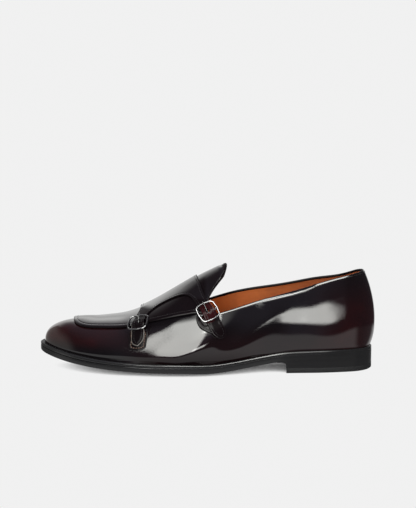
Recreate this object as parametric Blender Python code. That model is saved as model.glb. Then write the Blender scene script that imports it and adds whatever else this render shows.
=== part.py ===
"""Loafer with an apron front and a saddle that buckles with two straps, left shoe.

The toe points along -X, the outer side of the foot faces -Y, and the shoe stands on z = 0 with
the middle of its plan over the origin. Sizes and tables are in millimetres, and are drawn from a
point on the foot's own line; each finished mesh is moved to the origin and scaled to metres.

The upper, the apron and the saddle all follow one surface, the last. A point of the last has a
rib number u, which runs from the toe (0) along the outer side to the heel and back along the inner
side, and a share t, which runs from the sole (0) up over the foot to the ridge (1). A distance
"down" is measured along a rib from the ridge.
"""

from collections import namedtuple

import bmesh
import bpy
import numpy as np
from mathutils.geometry import delaunay_2d_cdt

MM = 0.001
PLAN_MIDDLE = (-0.25, -2.8, 0.0)    # middle of the whole shoe's plan, where the tables are drawn

# Driving dimensions
LENGTH = 297.0          # outsole, toe to heel
BALL_WIDTH = 103.0      # outsole, across the ball
INSTEP_HEIGHT = 85.0    # ridge of the last over the floor, where the foot goes in
HEEL_HEIGHT = 12.0      # underside of the outsole over the floor, at the heel

# Layers
GAP = 0.3               # between pieces that touch
OUTSOLE = 4.7
MIDSOLE = 3.0
INSOLE = 2.5
WALL = 2.0              # upper leather and lining
APRON = 1.8
STRAP = 1.2
TAB = 1.2
TOP_LIFT = 4.5
SOLE_PACK = OUTSOLE + GAP + MIDSOLE + GAP
EDGE_BEVEL = 0.7        # lower edge of the outsole and the heel
LIP_BEVEL = 0.5         # edges of the midsole

# The tables are drawn for a shoe of these sizes, and graded to the driving dimensions.
DRAWN_LENGTH = 297.0
DRAWN_WIDTH = 103.0
DRAWN_INSTEP = 85.0
DRAWN_HEEL = 12.0
ALONG = LENGTH / DRAWN_LENGTH
ACROSS = BALL_WIDTH / DRAWN_WIDTH
UPWARD = INSTEP_HEIGHT / DRAWN_INSTEP
LIFT = HEEL_HEIGHT / DRAWN_HEEL

# Underside of the outsole along the shoe: toe spring, flat spot under the ball, waist, heel seat.
TREAD = [  # x, height, rise of the edges
    (-151, 15.2, 1.0), (-140, 12.6, 1.3), (-125, 9.6, 1.8), (-105, 5.9, 2.7), (-85, 3.0, 3.1),
    (-65, 1.1, 3.4), (-48, 0.15, 3.4), (-35, 0.0, 3.3), (-12, 0.0, 3.0), (4, 0.5, 2.4),
    (20, 2.7, 1.6), (40, 6.4, 0.8), (56, 9.2, 0.3), (66, 10.5, 0.0), (76, 11.1, 0.0),
    (90, 11.5, 0.0), (115, 12.0, 0.0), (148, 12.2, 0.0)]
CROWN_START = 17.0      # distance from the middle at which the edges begin to rise
CROWN_REACH = 52.0      # and at which they have their full rise

# Ridge of the last: its height, and how far it lies to the inner side.
RIDGE = [  # x, height, sideways
    (-110, 43.6, 3.0), (-97, 43.6, 3.3), (-87, 44.4, 3.7), (-73, 46.7, 4.1), (-60, 50.4, 4.6),
    (-45, 57.9, 5.0), (-27, 68.6, 5.0), (-11, 77.8, 5.0), (3, 85.2, 4.3), (16, 91.5, 3.5),
    (40, 101.0, 2.2), (70, 106.0, 1.0), (100, 107.0, 0.0), (125, 107.0, 0.0)]

# Ribs of the last from the toe to the heel. foot_x, outer_y and inner_y place a rib's two feet on
# the feather line, ledge is how far the sole stands out there, bulge and rise shape the rib's lower
# half, span its upper half, and apron is how far down from the ridge the apron ends.
Rib = namedtuple("Rib", "foot_x outer_y inner_y ledge outer_bulge inner_bulge rise "
                        "crest_x outer_span inner_span apron")
RIBS = [
    Rib(-146.6,   3.0,  3.0, 3.9,  1.5,  1.5, 15.0, -103.5, 26.5, 26.5, 16.9),
    Rib(-143.2,  -8.6, 14.2, 3.8,  1.5,  1.5, 15.0, -102.6, 25.0, 24.0, 18.2),
    Rib(-133.6, -19.0, 21.6, 4.0,  2.0,  2.0, 15.5,  -99.6, 21.0, 20.0, 22.8),
    Rib(-119.5, -29.2, 29.4, 4.3,  3.0,  2.5, 16.0,  -93.5, 20.0, 19.0, 27.0),
    Rib( -99.5, -37.8, 36.4, 4.5,  5.0,  4.0, 17.0,  -83.5, 20.0, 19.0, 28.6),
    Rib( -72.0, -45.0, 41.8, 4.6,  8.0,  6.0, 19.0,  -67.0, 20.0, 18.0, 32.5),
    Rib( -42.0, -49.2, 44.0, 4.6, 13.0, 10.0, 23.0,  -42.0, 18.0, 17.0, 39.6),
    Rib( -12.0, -48.8, 41.0, 4.4, 14.0, 11.0, 28.0,  -12.0, 16.0, 15.0, 47.2),
    Rib(  16.0, -43.0, 33.5, 3.8, 11.0, 10.0, 33.0,   16.0, 15.0, 14.0, 52.0),
    Rib(  44.0, -35.8, 28.5, 2.7,  8.0,  9.0, 36.0,   44.0, 17.0, 17.0, 54.0),
    Rib(  72.0, -31.6, 29.0, 2.0,  6.5,  7.5, 38.0,   72.0, 19.0, 19.0, 54.0),
    Rib(  97.0, -30.4, 30.2, 1.8,  5.5,  5.5, 38.0,   96.0, 21.0, 21.0, 54.0),
    Rib( 119.5, -27.0, 26.6, 1.6,  4.5,  4.5, 36.0,  112.0, 21.0, 21.0, 54.0),
    Rib( 137.6, -19.6, 19.4, 1.3,  7.5,  7.5, 33.0,  119.5, 19.0, 19.0, 54.0),
    Rib( 146.1,   0.0,  0.0, 1.2, 12.5, 12.5, 27.0,  120.0, 20.0, 20.0, 54.0)]
HEEL_RIB = len(RIBS) - 1
RIB_COUNT = 2 * HEEL_RIB

# Top edge of the quarters, from the throat to the heel.
THROAT_X = 1.3
TOPLINE = [  # x, outer height, inner height
    (1, 53.0, 57.0), (18.7, 57.2, 63.0), (42, 64.3, 68.1), (72, 72.5, 72.8), (101.5, 80.8, 78.2),
    (124, 85.9, 82.2), (139.3, 88.6, 88.6)]
UNDERLAP = 8.0          # how far the vamp reaches under the apron

# The tongue goes on from the apron. Each row runs from its free edge to the ridge.
TONGUE = [  # edge rib, edge down, crest rib
    (7.00, 47.2, 7.00), (7.30, 50.0, 7.25), (7.44, 48.5, 7.40), (7.43, 41.0, 7.52),
    (7.48, 34.5, 7.67), (7.64, 27.5, 7.82), (7.82, 21.5, 7.94), (7.93, 16.0, 8.04)]

# Mesh density of the solids
RIB_STEPS = 3           # sections of the upper and the apron from one rib to the next
WALL_STEPS = 7          # up the side of the upper
APRON_STEPS = 6         # from the apron's edge to the ridge
PLATE_RIB_STEPS = 2     # sections of a sole layer from one rib to the next
PLATE_STEPS = 4         # across half a sole layer
PANEL_SPACING = 4.5     # between the points of a cut panel
WIRE_SIDES = 6          # around a buckle's wire

COLOURS = {             # base colour, metallic, roughness
    "upper_leather": ((0.020, 0.008, 0.008, 1), 0.0, 0.12),
    "saddle_leather": ((0.012, 0.007, 0.007, 1), 0.0, 0.12),
    "lining_leather": ((0.36, 0.13, 0.045, 1), 0.0, 0.55),
    "sole_leather": ((0.020, 0.018, 0.018, 1), 0.0, 0.45),
    "heel_rubber": ((0.015, 0.015, 0.016, 1), 0.0, 0.7),
    "buckle_metal": ((0.80, 0.80, 0.80, 1), 1.0, 0.15)}


# ---------------------------------------------------------------------------------- curves

def second_derivatives(knots, values, closed):
    """Second derivatives of the cubic spline through the rows of values."""
    count = len(values)
    matrix = np.zeros((count, count))
    right = np.zeros_like(values)
    steps = np.diff(knots)
    for i in range(count):
        if not closed and i in (0, count - 1):
            matrix[i, i] = 1
            continue
        before = steps[i - 1]
        after = steps[i % len(steps)]
        left = (i - 1) % count
        next_one = (i + 1) % count
        matrix[i, left] += before
        matrix[i, i] += 2 * (before + after)
        matrix[i, next_one] += after
        right[i] = 6 * ((values[next_one] - values[i]) / after - (values[i] - values[left]) / before)
    return np.linalg.solve(matrix, right)


def spline(knots, values, closed=False):
    """Cubic spline through values at rising knots. A closed one has one more knot than values."""
    knots = np.asarray(knots, float)
    values = np.asarray(values, float)
    flat = values.ndim == 1
    values = values.reshape(len(values), -1)
    bends = second_derivatives(knots, values, closed)
    period = knots[-1] - knots[0]

    def at(x):
        x = np.asarray(x, float)
        x = knots[0] + (x - knots[0]) % period if closed else np.clip(x, knots[0], knots[-1])
        i = np.clip(np.searchsorted(knots, x, side="right") - 1, 0, len(knots) - 2)
        j = (i + 1) % len(values)
        step = (knots[i + 1] - knots[i])[..., None]
        a = (knots[i + 1] - x)[..., None] / step
        b = 1 - a
        curve = ((a ** 3 - a) * bends[i] + (b ** 3 - b) * bends[j]) * step ** 2 / 6
        result = a * values[i] + b * values[j] + curve
        return result[..., 0] if flat else result

    return at


def smooth_step(x, start, end):
    """0 before start, 1 after end, smooth between."""
    share = np.clip((x - start) / (end - start), 0, 1)
    return share * share * (3 - 2 * share)


# ---------------------------------------------------------------------------------- the last

def column(table, index, factor=1.0):
    """Spline along the shoe through one column of a table whose first column is x."""
    return spline([row[0] * ALONG for row in table], [row[index] * factor for row in table])


tread_height = column(TREAD, 1, LIFT)
edge_rise = column(TREAD, 2, LIFT)
ridge_height = column(RIDGE, 1, UPWARD)
ridge_side = column(RIDGE, 2, ACROSS)
topline_outer = column(TOPLINE, 1, UPWARD)
topline_inner = column(TOPLINE, 2, UPWARD)


def sole_bottom(x, y):
    """Height of the outsole's underside."""
    share = (np.abs(y) / ACROSS - CROWN_START) / (CROWN_REACH - CROWN_START)
    return np.maximum(tread_height(x), 0) + edge_rise(x) * np.maximum(share, 0) ** 2


def ridge_slope(x):
    return ridge_height(x + 0.5) - ridge_height(x - 0.5)


def rib_row(rib, inner):
    """A rib's four handles, from foot to ridge, then its ledge, apron and ridge place."""
    foot_x = rib.foot_x * ALONG
    crest_x = rib.crest_x * ALONG
    foot_y = (rib.inner_y if inner else rib.outer_y) * ACROSS
    bulge = (rib.inner_bulge if inner else rib.outer_bulge) * ACROSS
    span = (rib.inner_span if inner else rib.outer_span) * ACROSS
    foot = np.array([foot_x, foot_y, sole_bottom(foot_x, foot_y) + SOLE_PACK])
    crest = np.array([crest_x, ridge_side(crest_x), ridge_height(crest_x)])
    outward = foot[:2] - crest[:2]
    outward /= np.linalg.norm(outward)
    low = foot + [*(outward * bulge), rib.rise * UPWARD]
    high = crest + np.array([*outward, outward[0] * ridge_slope(crest_x)]) * span
    return np.concatenate([foot, low, high, crest, [rib.ledge, rib.apron]])


RIB_ROWS = [rib_row(rib, False) for rib in RIBS] + [rib_row(rib, True) for rib in RIBS[-2:0:-1]]
ribs_at = spline(range(RIB_COUNT + 1), RIB_ROWS, closed=True)
LEDGE_COLUMN, APRON_COLUMN = 12, 13


def last_point(u, t):
    """Point of the last at rib u and share t, as a cubic Bezier curve up each rib."""
    u, t = np.broadcast_arrays(np.asarray(u, float), np.asarray(t, float))
    handles = ribs_at(u)[..., :12].reshape(u.shape + (4, 3))
    s = 1 - t
    weights = np.stack([s ** 3, 3 * s * s * t, 3 * s * t * t, t ** 3], -1)
    return (weights[..., None] * handles).sum(-2)


def last_normal(u, t):
    """Outward normal of the last. Close to the ridge it turns into the ridge's own normal."""
    u, t = np.broadcast_arrays(np.asarray(u, float), np.asarray(t, float))
    step = 1e-3
    near_ridge = 0.97
    below = np.clip(t, step, near_ridge)
    along = last_point(u + step, below) - last_point(u - step, below)
    upward = last_point(u, below + step) - last_point(u, below - step)
    normal = np.cross(along, upward)
    normal /= np.linalg.norm(normal, axis=-1, keepdims=True)
    slope = ridge_slope(last_point(u, 1.0)[..., 0])
    top = np.stack([-slope, 0 * slope, 1 + 0 * slope], -1)
    top /= np.linalg.norm(top, axis=-1, keepdims=True)
    share = np.clip((t - near_ridge) / (1 - near_ridge), 0, 1)[..., None]
    normal = normal * (1 - share) + top * share
    return normal / np.linalg.norm(normal, axis=-1, keepdims=True)


def share_at(u, down):
    """Share t of the point that lies a distance down rib u from the ridge."""
    u, down = np.broadcast_arrays(np.asarray(u, float), np.asarray(down, float))
    shares = np.linspace(1, 0, 61)
    points = last_point(u[..., None], shares)
    lengths = np.linalg.norm(np.diff(points, axis=-2), axis=-1).cumsum(-1)
    lengths = np.concatenate([np.zeros(u.shape + (1,)), lengths], -1).reshape(-1, len(shares))
    found = [np.interp(d, row, shares) for d, row in zip(down.ravel(), lengths)]
    return np.array(found).reshape(u.shape)


def share_at_height(u, height):
    """Share t at which rib u reaches a height."""
    low = np.zeros_like(u)
    high = np.ones_like(u)
    for _ in range(30):
        middle = (low + high) / 2
        below = last_point(u, middle)[..., 2] < height
        low = np.where(below, middle, low)
        high = np.where(below, high, middle)
    return (low + high) / 2


def sole_edge(u, inset=0.0):
    """Plan point of the sole's edge beside rib u, or as far inside it as inset says."""
    step = 1e-3
    along = (last_point(u + step, 0.0) - last_point(u - step, 0.0))[..., :2]
    outward = np.stack([along[..., 1], -along[..., 0]], -1)
    outward /= np.linalg.norm(outward, axis=-1, keepdims=True)
    reach = ribs_at(u)[..., LEDGE_COLUMN] - inset
    return last_point(u, 0.0)[..., :2] + outward * reach[..., None]


def side_rib(u, inner):
    """The rib on the inner side that mirrors rib u, or u itself on the outer side."""
    return RIB_COUNT - u if inner else u


CREST_RIBS = np.linspace(0, HEEL_RIB, 561)
CREST_X = last_point(CREST_RIBS, 1.0)[:, 0]


def lifted(x, down, height):
    """Point over the last: x on the ridge, a distance down the outer side (or, where it is
    negative, the inner side), and a height above the leather there."""
    u = np.interp(x, CREST_X, CREST_RIBS)
    u = np.where(np.asarray(down) < 0, RIB_COUNT - u, u)
    t = share_at(u, np.abs(down))
    return last_point(u, t) + last_normal(u, t) * np.asarray(height)[..., None]


# ---------------------------------------------------------------------------------- meshes

def make_object(name, points, faces, material):
    """Object from points in millimetres and faces, with doubles merged and faces outward."""
    mesh = bpy.data.meshes.new(name)
    mesh.from_pydata([tuple(p) for p in (points - np.array(PLAN_MIDDLE)) * MM], [], faces)
    shape = bmesh.new()
    shape.from_mesh(mesh)
    bmesh.ops.remove_doubles(shape, verts=shape.verts, dist=1e-6)
    bmesh.ops.dissolve_degenerate(shape, dist=1e-6, edges=shape.edges)
    bmesh.ops.recalc_face_normals(shape, faces=shape.faces)
    shape.to_mesh(mesh)
    shape.free()
    mesh.shade_smooth()
    mesh.set_sharp_from_angle(angle=np.radians(40))
    mesh.materials.append(material)
    obj = bpy.data.objects.new(name, mesh)
    bpy.context.collection.objects.link(obj)
    return obj


def loft(sections, cap_start=False, cap_end=False, around=False):
    """Points and faces of a skin over closed sections that all have the same number of points."""
    count = len(sections[0])
    points = np.concatenate(sections)
    spans = len(sections) if around else len(sections) - 1
    faces = []
    for i in range(spans):
        here = i * count
        there = (i + 1) % len(sections) * count
        for j in range(count):
            k = (j + 1) % count
            faces.append((here + j, here + k, there + k, there + j))
    if cap_start:
        faces.append(tuple(range(count)))
    if cap_end:
        faces.append(tuple(range(len(points) - count, len(points))))
    return points, faces


def plate_lines(inset):
    """Plan lines across the sole from its outer to its inner edge, each through the middle."""
    ribs = np.linspace(0, HEEL_RIB, HEEL_RIB * PLATE_RIB_STEPS + 1)[:, None]
    across = np.linspace(-1, 1, 2 * PLATE_STEPS + 1)
    sides = np.where(across > 0, RIB_COUNT - ribs, ribs)
    edge = sole_edge(sides, inset)
    spine_x = last_point(sides, 1.0)[..., 0]
    spine = np.stack([spine_x, ridge_side(spine_x)], -1)
    return spine + (edge - spine) * np.abs(across)[:, None]


def over_tread(lines, height):
    """The plan lines lifted to a height over the outsole's underside."""
    return np.concatenate([lines, (sole_bottom(lines[..., 0], lines[..., 1]) + height)[..., None]], -1)


def plate_sections(inset, low, high, low_bevel, high_bevel):
    """Sections of a plate that fills the sole's outline between two heights above the tread."""
    top = over_tread(plate_lines(inset + high_bevel), high)
    upper_rim = over_tread(plate_lines(inset), high - high_bevel)
    lower_rim = over_tread(plate_lines(inset), low + low_bevel)
    bottom = over_tread(plate_lines(inset + low_bevel), low)
    sections = [top, upper_rim[:, -1:], lower_rim[:, -1:], bottom[:, ::-1], lower_rim[:, :1],
                upper_rim[:, :1]]
    return np.concatenate(sections, 1)


def inside(points, loop):
    """Which plan points lie inside a closed loop."""
    x = points[:, :1]
    y = points[:, 1:]
    x0, y0 = loop.T
    x1, y1 = np.roll(loop, -1, 0).T
    crosses = (y0 > y) != (y1 > y)
    with np.errstate(divide="ignore", invalid="ignore"):
        at = x0 + (y - y0) * (x1 - x0) / (y1 - y0)
    return (crosses & (x < at)).sum(1) % 2 == 1


def distance_to(points, loop):
    """Distance of plan points from the nearest side of a closed loop."""
    side = np.roll(loop, -1, 0) - loop
    offset = points[:, None] - loop
    share = np.clip((offset * side).sum(-1) / (side * side).sum(-1), 0, 1)
    return np.linalg.norm(offset - side * share[..., None], axis=-1).min(1)


def smooth_line(points, spacing, closed=False):
    """Points about a spacing apart on the smooth curve through a few points."""
    points = np.array(points, float)
    path = np.concatenate([points, points[:1]]) if closed else points
    knots = np.concatenate([[0], np.linalg.norm(np.diff(path, axis=0), axis=1).cumsum()])
    curve = spline(knots, points, closed)
    count = max(2, round(knots[-1] / spacing))
    return curve(np.linspace(0, knots[-1], count + 1))[:-1]


def cut_panel(name, outline, holes, place, thickness, material):
    """Panel of leather cut to an outline with holes, and laid over the shoe by place(x, y, rise)."""
    loops = [outline] + holes
    low = outline.min(0)
    high = outline.max(0)
    grid = np.stack(np.meshgrid(*[np.arange(a, b, PANEL_SPACING) for a, b in zip(low, high)]), -1)
    grid = grid.reshape(-1, 2)
    keep = inside(grid, outline)
    for loop in loops:
        keep &= distance_to(grid, loop) > PANEL_SPACING * 0.45
    for hole in holes:
        keep &= ~inside(grid, hole)
    sides = []
    start = 0
    for loop in loops:
        sides += [(start + i, start + (i + 1) % len(loop)) for i in range(len(loop))]
        start += len(loop)
    flat = [tuple(p) for p in np.concatenate(loops + [grid[keep]])]
    flat, _, triangles, _, _, _ = delaunay_2d_cdt(flat, sides, [], 0, 1e-6)
    flat = np.array(flat)
    centres = np.array([flat[list(t)].mean(0) for t in triangles])
    kept = inside(centres, outline)
    for hole in holes:
        kept &= ~inside(centres, hole)
    top = [tuple(t) for t, wanted in zip(triangles, kept) if wanted]
    directed = {(t[i], t[(i + 1) % 3]) for t in top for i in range(3)}
    rim = [(a, b) for a, b in directed if (b, a) not in directed]
    count = len(flat)
    faces = top + [tuple(i + count for i in t[::-1]) for t in top]
    faces += [(b, a, a + count, b + count) for a, b in sorted(rim)]
    under = place(flat[:, 0], flat[:, 1], 0.0)
    over = place(flat[:, 0], flat[:, 1], thickness)
    return make_object(name, np.concatenate([over, under]), faces, material)


def tube(path, radii, up, closed=False):
    """Sections around a path in a plane whose normal is up, for loft."""
    path = np.array(path, float)
    if closed:
        along = np.roll(path, -1, 0) - np.roll(path, 1, 0)
    else:
        along = np.gradient(path, axis=0)
    along /= np.linalg.norm(along, axis=1, keepdims=True)
    side = np.cross(along, up)
    side /= np.linalg.norm(side, axis=1, keepdims=True)
    other = np.cross(side, along)
    turns = np.linspace(0, 2 * np.pi, WIRE_SIDES, endpoint=False) + np.pi / WIRE_SIDES
    ring = np.cos(turns)[:, None, None] * side + np.sin(turns)[:, None, None] * other
    return list((path + ring * np.broadcast_to(radii, len(path))[:, None]).transpose(1, 0, 2))


# ---------------------------------------------------------------------------------- sub-parts

BREAST_X = 69.0
BREAST_HOLLOW = 1.5     # how far the middle of the heel's breast lies back
BREAST_LIP = [          # height under the outsole, how far forward the breast flares
    (4.5, 0.0), (2.6, 0.6), (1.0, 2.4), (0.0, 5.5)]
HEEL_STEPS = 20


def heel_outline(breast_x, inset=0.0):
    """Plan of the heel: the sole's edge behind breast_x, closed by a hollow breast."""
    ribs = np.linspace(0, RIB_COUNT, 1201)
    edge = sole_edge(ribs, inset)
    behind = ribs[edge[:, 0] > breast_x + inset]
    rim = sole_edge(np.linspace(behind[0], behind[-1], HEEL_STEPS + 1), inset)
    shares = np.linspace(0, 1, 7)[1:-1]
    breast = rim[-1] + (rim[0] - rim[-1]) * shares[:, None]
    breast[:, 0] += BREAST_HOLLOW * (1 - (2 * shares - 1) ** 2)
    return np.concatenate([rim, breast])


def flat_section(outline, height):
    return np.column_stack([outline, np.full(len(outline), height)])


def make_outsole(materials):
    sections = plate_sections(0, 0, OUTSOLE, EDGE_BEVEL, 0.2)
    return make_object("outsole", *loft(sections), materials["sole_leather"])


def make_midsole(materials):
    low = OUTSOLE + GAP
    sections = plate_sections(0.4, low, low + MIDSOLE, LIP_BEVEL, LIP_BEVEL)
    return make_object("midsole", *loft(sections), materials["sole_leather"])


def make_insole(materials):
    ledge = ribs_at(np.linspace(0, HEEL_RIB, HEEL_RIB * PLATE_RIB_STEPS + 1))[:, LEDGE_COLUMN]
    lines = plate_lines(ledge[:, None] + WALL + 2 * GAP)
    low = over_tread(lines, SOLE_PACK)
    high = over_tread(lines, SOLE_PACK + INSOLE)
    sections = np.concatenate([high, low[:, ::-1]], 1)
    return make_object("insole", *loft(sections), materials["lining_leather"])


def make_top_lift(materials):
    levels = [(EDGE_BEVEL, 0.0), (0.0, EDGE_BEVEL), (0.0, TOP_LIFT)]
    sections = [flat_section(heel_outline(BREAST_X, inset), height) for inset, height in levels]
    return make_object("top_lift", *loft(sections, True, True), materials["heel_rubber"])


def make_heel_stack(materials):
    sections = [flat_section(heel_outline(BREAST_X), TOP_LIFT + GAP)]
    for under, forward in BREAST_LIP:
        outline = heel_outline(BREAST_X - forward)
        height = sole_bottom(outline[:, 0], outline[:, 1]) - GAP - under
        sections.append(np.column_stack([outline, height]))
    return make_object("heel_stack", *loft(sections, True, True), materials["sole_leather"])


def top_share(u):
    """Share t at which the upper ends: the topline, or under the apron's edge."""
    inner = u > HEEL_RIB
    mirrored = RIB_COUNT - u if inner else u
    line = topline_inner if inner else topline_outer
    share = 0.5
    for _ in range(12):
        x = last_point(u, share)[0]
        share = share_at_height(np.array(float(u)), line(x))
    apron_down = ribs_at(np.array(mirrored))[APRON_COLUMN] - UNDERLAP
    under_apron = share_at(np.array(float(u)), apron_down)
    x = last_point(u, 1.0)[0]
    return under_apron + (share - under_apron) * smooth_step(x, THROAT_X - 12, THROAT_X)


def make_upper(materials):
    sections = []
    for step in range(RIB_COUNT * RIB_STEPS):
        u = step / RIB_STEPS
        shares = np.linspace(0, top_share(u), WALL_STEPS + 1)
        outer = last_point(u, shares)
        inner = outer - last_normal(u, shares) * WALL
        sections.append(np.concatenate([outer, inner[::-1]]))
    return make_object("upper", *loft(sections, around=True), materials["upper_leather"])


def apron_rows():
    """Rows of the apron and tongue as (edge rib, edge down, crest rib), from toe to tip."""
    rows = [(u, ribs_at(u)[APRON_COLUMN], u) for u in np.arange(0, 7, 1 / RIB_STEPS)]
    along_tongue = spline(range(len(TONGUE)), TONGUE)
    rows += [tuple(along_tongue(s)) for s in np.linspace(0, len(TONGUE) - 1, 13)]
    return rows


def make_apron(materials):
    low = GAP
    high = GAP + APRON
    across = np.linspace(0, 1, APRON_STEPS + 1)
    sections = []
    for edge_rib, edge_down, crest_rib in apron_rows():
        rib = edge_rib + (crest_rib - edge_rib) * (1 - (1 - across) ** 2)
        halves = []
        for inner in (False, True):
            u = side_rib(rib, inner)
            t = share_at(u, edge_down * (1 - across))
            halves.append((last_point(u, t), last_normal(u, t)))
        (outer, outer_normal), (inner, inner_normal) = halves
        line = np.concatenate([outer, inner[-2::-1]])
        normal = np.concatenate([outer_normal, inner_normal[-2::-1]])
        sections.append(np.concatenate([line + normal * high, (line + normal * low)[::-1]]))
    return make_object("apron_tongue", *loft(sections, cap_end=True), materials["upper_leather"])


# The saddle's edges and the tabs, as (x on the ridge, distance down the outer side of the foot).
SADDLE_FRONT = [(-65.0, -56), (-62.5, -38), (-59.8, -20), (-58.5, 0), (-59.6, 17), (-62.2, 28),
                (-63.2, 39), (-63.2, 51)]
FRONT_TIP = [(-63.2, 51), (-61.9, 54.8), (-58.3, 57.6), (-54.8, 54.8), (-53.6, 51)]
ARCH = [(-53.6, 51), (-53.5, 38), (-52.4, 30), (-49.0, 24.0), (-41.0, 19.3), (-30.0, 19.0),
        (-19.5, 22.8), (-13.0, 31.0), (-8.0, 42.5), (-1.0, 60.5), (1.8, 67.5)]
REAR_TIP = [(1.8, 67.5), (4.9, 73.2), (9.6, 76.8), (13.6, 76.4), (14.9, 73.2), (13.0, 66.5)]
SADDLE_REAR = [(13.0, 66.5), (6.6, 51.5), (1.8, 42.5), (-2.2, 33), (-5.6, 18), (-8.5, 0), (-7.5, -20),
               (-5.0, -45), (-3.0, -84)]
TAB_FRONT = [(-64.6, 40.5), (-64.8, 50), (-64.3, 57.4), (-59.5, 60.8), (-54.0, 61.4), (-52.6, 56),
             (-52.4, 46.0)]
TAB_REAR = [(-10.0, 50.8), (-9.2, 57.5), (-5.8, 63.8), (-0.6, 68.4), (5.0, 71.0), (9.3, 69.0),
            (9.4, 62.5), (7.4, 57.5)]

# Buckles: place of the middle on the shoe, lean of the strap from the rib, and the pieces' heights
# over the leather of the upper.
Buckle = namedtuple("Buckle", "name x down lean")
BUCKLES = [Buckle("front", -58.0, 37.8, 6.0), Buckle("rear", 0.3, 51.8, -24.0)]
FRAME_SIZE = 18.4
FRAME_CORNER = 3.6
FRAME_WIRE = 1.8
FRAME_RISE = 5.9
BAR_WIRE = 1.4
BAR_RISE = 3.3
PRONG_WIRE = 1.3
PRONG_PATH = [(0.2, 4.95), (1.8, 5.5), (3.4, 6.3), (5.6, 7.1), (8.3, 7.75), (9.8, 7.8)]
OVER_TAB = GAP + TAB + GAP + 0.05   # underside of a strap's end, over its tab
STRAP_CLEARANCE = 0.55  # from the bar to the strap over it
STRAP_HUMP = 6.0        # how fast a strap falls away on both sides of the bar
STRAP_HOLE = (1.2, 2.3, 1.35)   # place up the strap, half length, half width


def buckle_frame(buckle):
    """Middle of a buckle on the leather, and its axes: across, up the strap and outward."""
    lean = np.radians(buckle.lean)
    step = np.array([0, 0, 0.5])
    middle, ahead, above = lifted(buckle.x + step * np.sin(lean), buckle.down - step * np.cos(lean),
                                  np.array([0, 1.0, 0]))
    outward = ahead - middle
    up = above - middle
    up -= outward * (up @ outward)
    up /= np.linalg.norm(up)
    return middle, np.array([np.cross(up, outward), up, outward])


def in_buckle(buckle, points):
    """World points from (across, up, out) points of a buckle."""
    middle, axes = buckle_frame(buckle)
    return middle + np.array(points, float) @ axes


def along_strap(buckle, x, down):
    """Distances across a strap and up it from the buckle's bar."""
    middle, axes = buckle_frame(buckle)
    local = (lifted(x, down, 0 * x) - middle) @ axes.T
    return local[..., 0], local[..., 1]


def saddle_rise(x, down):
    """Height of the saddle's underside: over the apron, down its step, and up over each bar."""
    u = np.interp(x, CREST_X, CREST_RIBS)
    past_edge = np.abs(down) - ribs_at(u)[..., APRON_COLUMN]
    rise = GAP + (APRON + GAP) * (1 - smooth_step(past_edge, 2.2, 7.5))
    over_bar = BAR_RISE + BAR_WIRE / 2 + STRAP_CLEARANCE
    for buckle in BUCKLES:
        side, up = along_strap(buckle, x, down)
        near = np.exp(-(side / 11.0) ** 4) * (down > 0)
        on_tab = 1 - smooth_step(up, -3.0, 0.0)
        rise = rise + (np.maximum(rise, OVER_TAB) - rise) * on_tab * near
        rise = rise + (over_bar - rise) * np.exp(-(up / STRAP_HUMP) ** 2) * near
    return rise


def over_saddle(x, down, thickness):
    return lifted(x, down, saddle_rise(x, down) + thickness)


def over_upper(x, down, thickness):
    return lifted(x, down, GAP + thickness + 0 * x)


def strap_hole(buckle):
    """Outline of the prong's hole in a strap."""
    place, half_length, half_width = STRAP_HOLE
    turns = np.linspace(0, 2 * np.pi, 12, endpoint=False)
    wanted = np.column_stack([half_width * np.sin(turns), place + half_length * np.cos(turns)])
    moves = np.array([(1.0, 0.0), (0.0, 1.0)])
    gained = along_strap(buckle, buckle.x + moves[:, 0], buckle.down + moves[:, 1])
    return np.array([buckle.x, buckle.down]) + wanted @ np.linalg.inv(np.column_stack(gained))


def make_saddle(materials):
    fine = PANEL_SPACING / 2
    coarse = PANEL_SPACING
    inner_foot = [SADDLE_REAR[-1], SADDLE_FRONT[0]]
    outline = np.concatenate([
        smooth_line(SADDLE_FRONT, coarse), smooth_line(FRONT_TIP, fine), smooth_line(ARCH, coarse),
        smooth_line(REAR_TIP, fine), smooth_line(SADDLE_REAR, coarse),
        smooth_line(inner_foot, coarse)])
    holes = [strap_hole(buckle) for buckle in BUCKLES]
    return cut_panel("saddle", outline, holes, over_saddle, STRAP, materials["saddle_leather"])


def make_tabs(materials):
    for name, outline in (("tab_front", TAB_FRONT), ("tab_rear", TAB_REAR)):
        loop = smooth_line(outline, 3.0, closed=True)
        cut_panel(name, loop, [], over_upper, TAB, materials["saddle_leather"])


def rounded_square(size, corner):
    """Middle line of the frame, with round corners."""
    straight = size / 2 - corner
    points = []
    for turn in range(4):
        for angle in np.radians(90 * turn + np.array([0, 22.5, 45, 67.5, 90])):
            centre = np.array([(1, 1), (-1, 1), (-1, -1), (1, -1)][turn]) * straight
            points.append(centre + corner * np.array([np.cos(angle), np.sin(angle)]))
    return points


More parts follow.
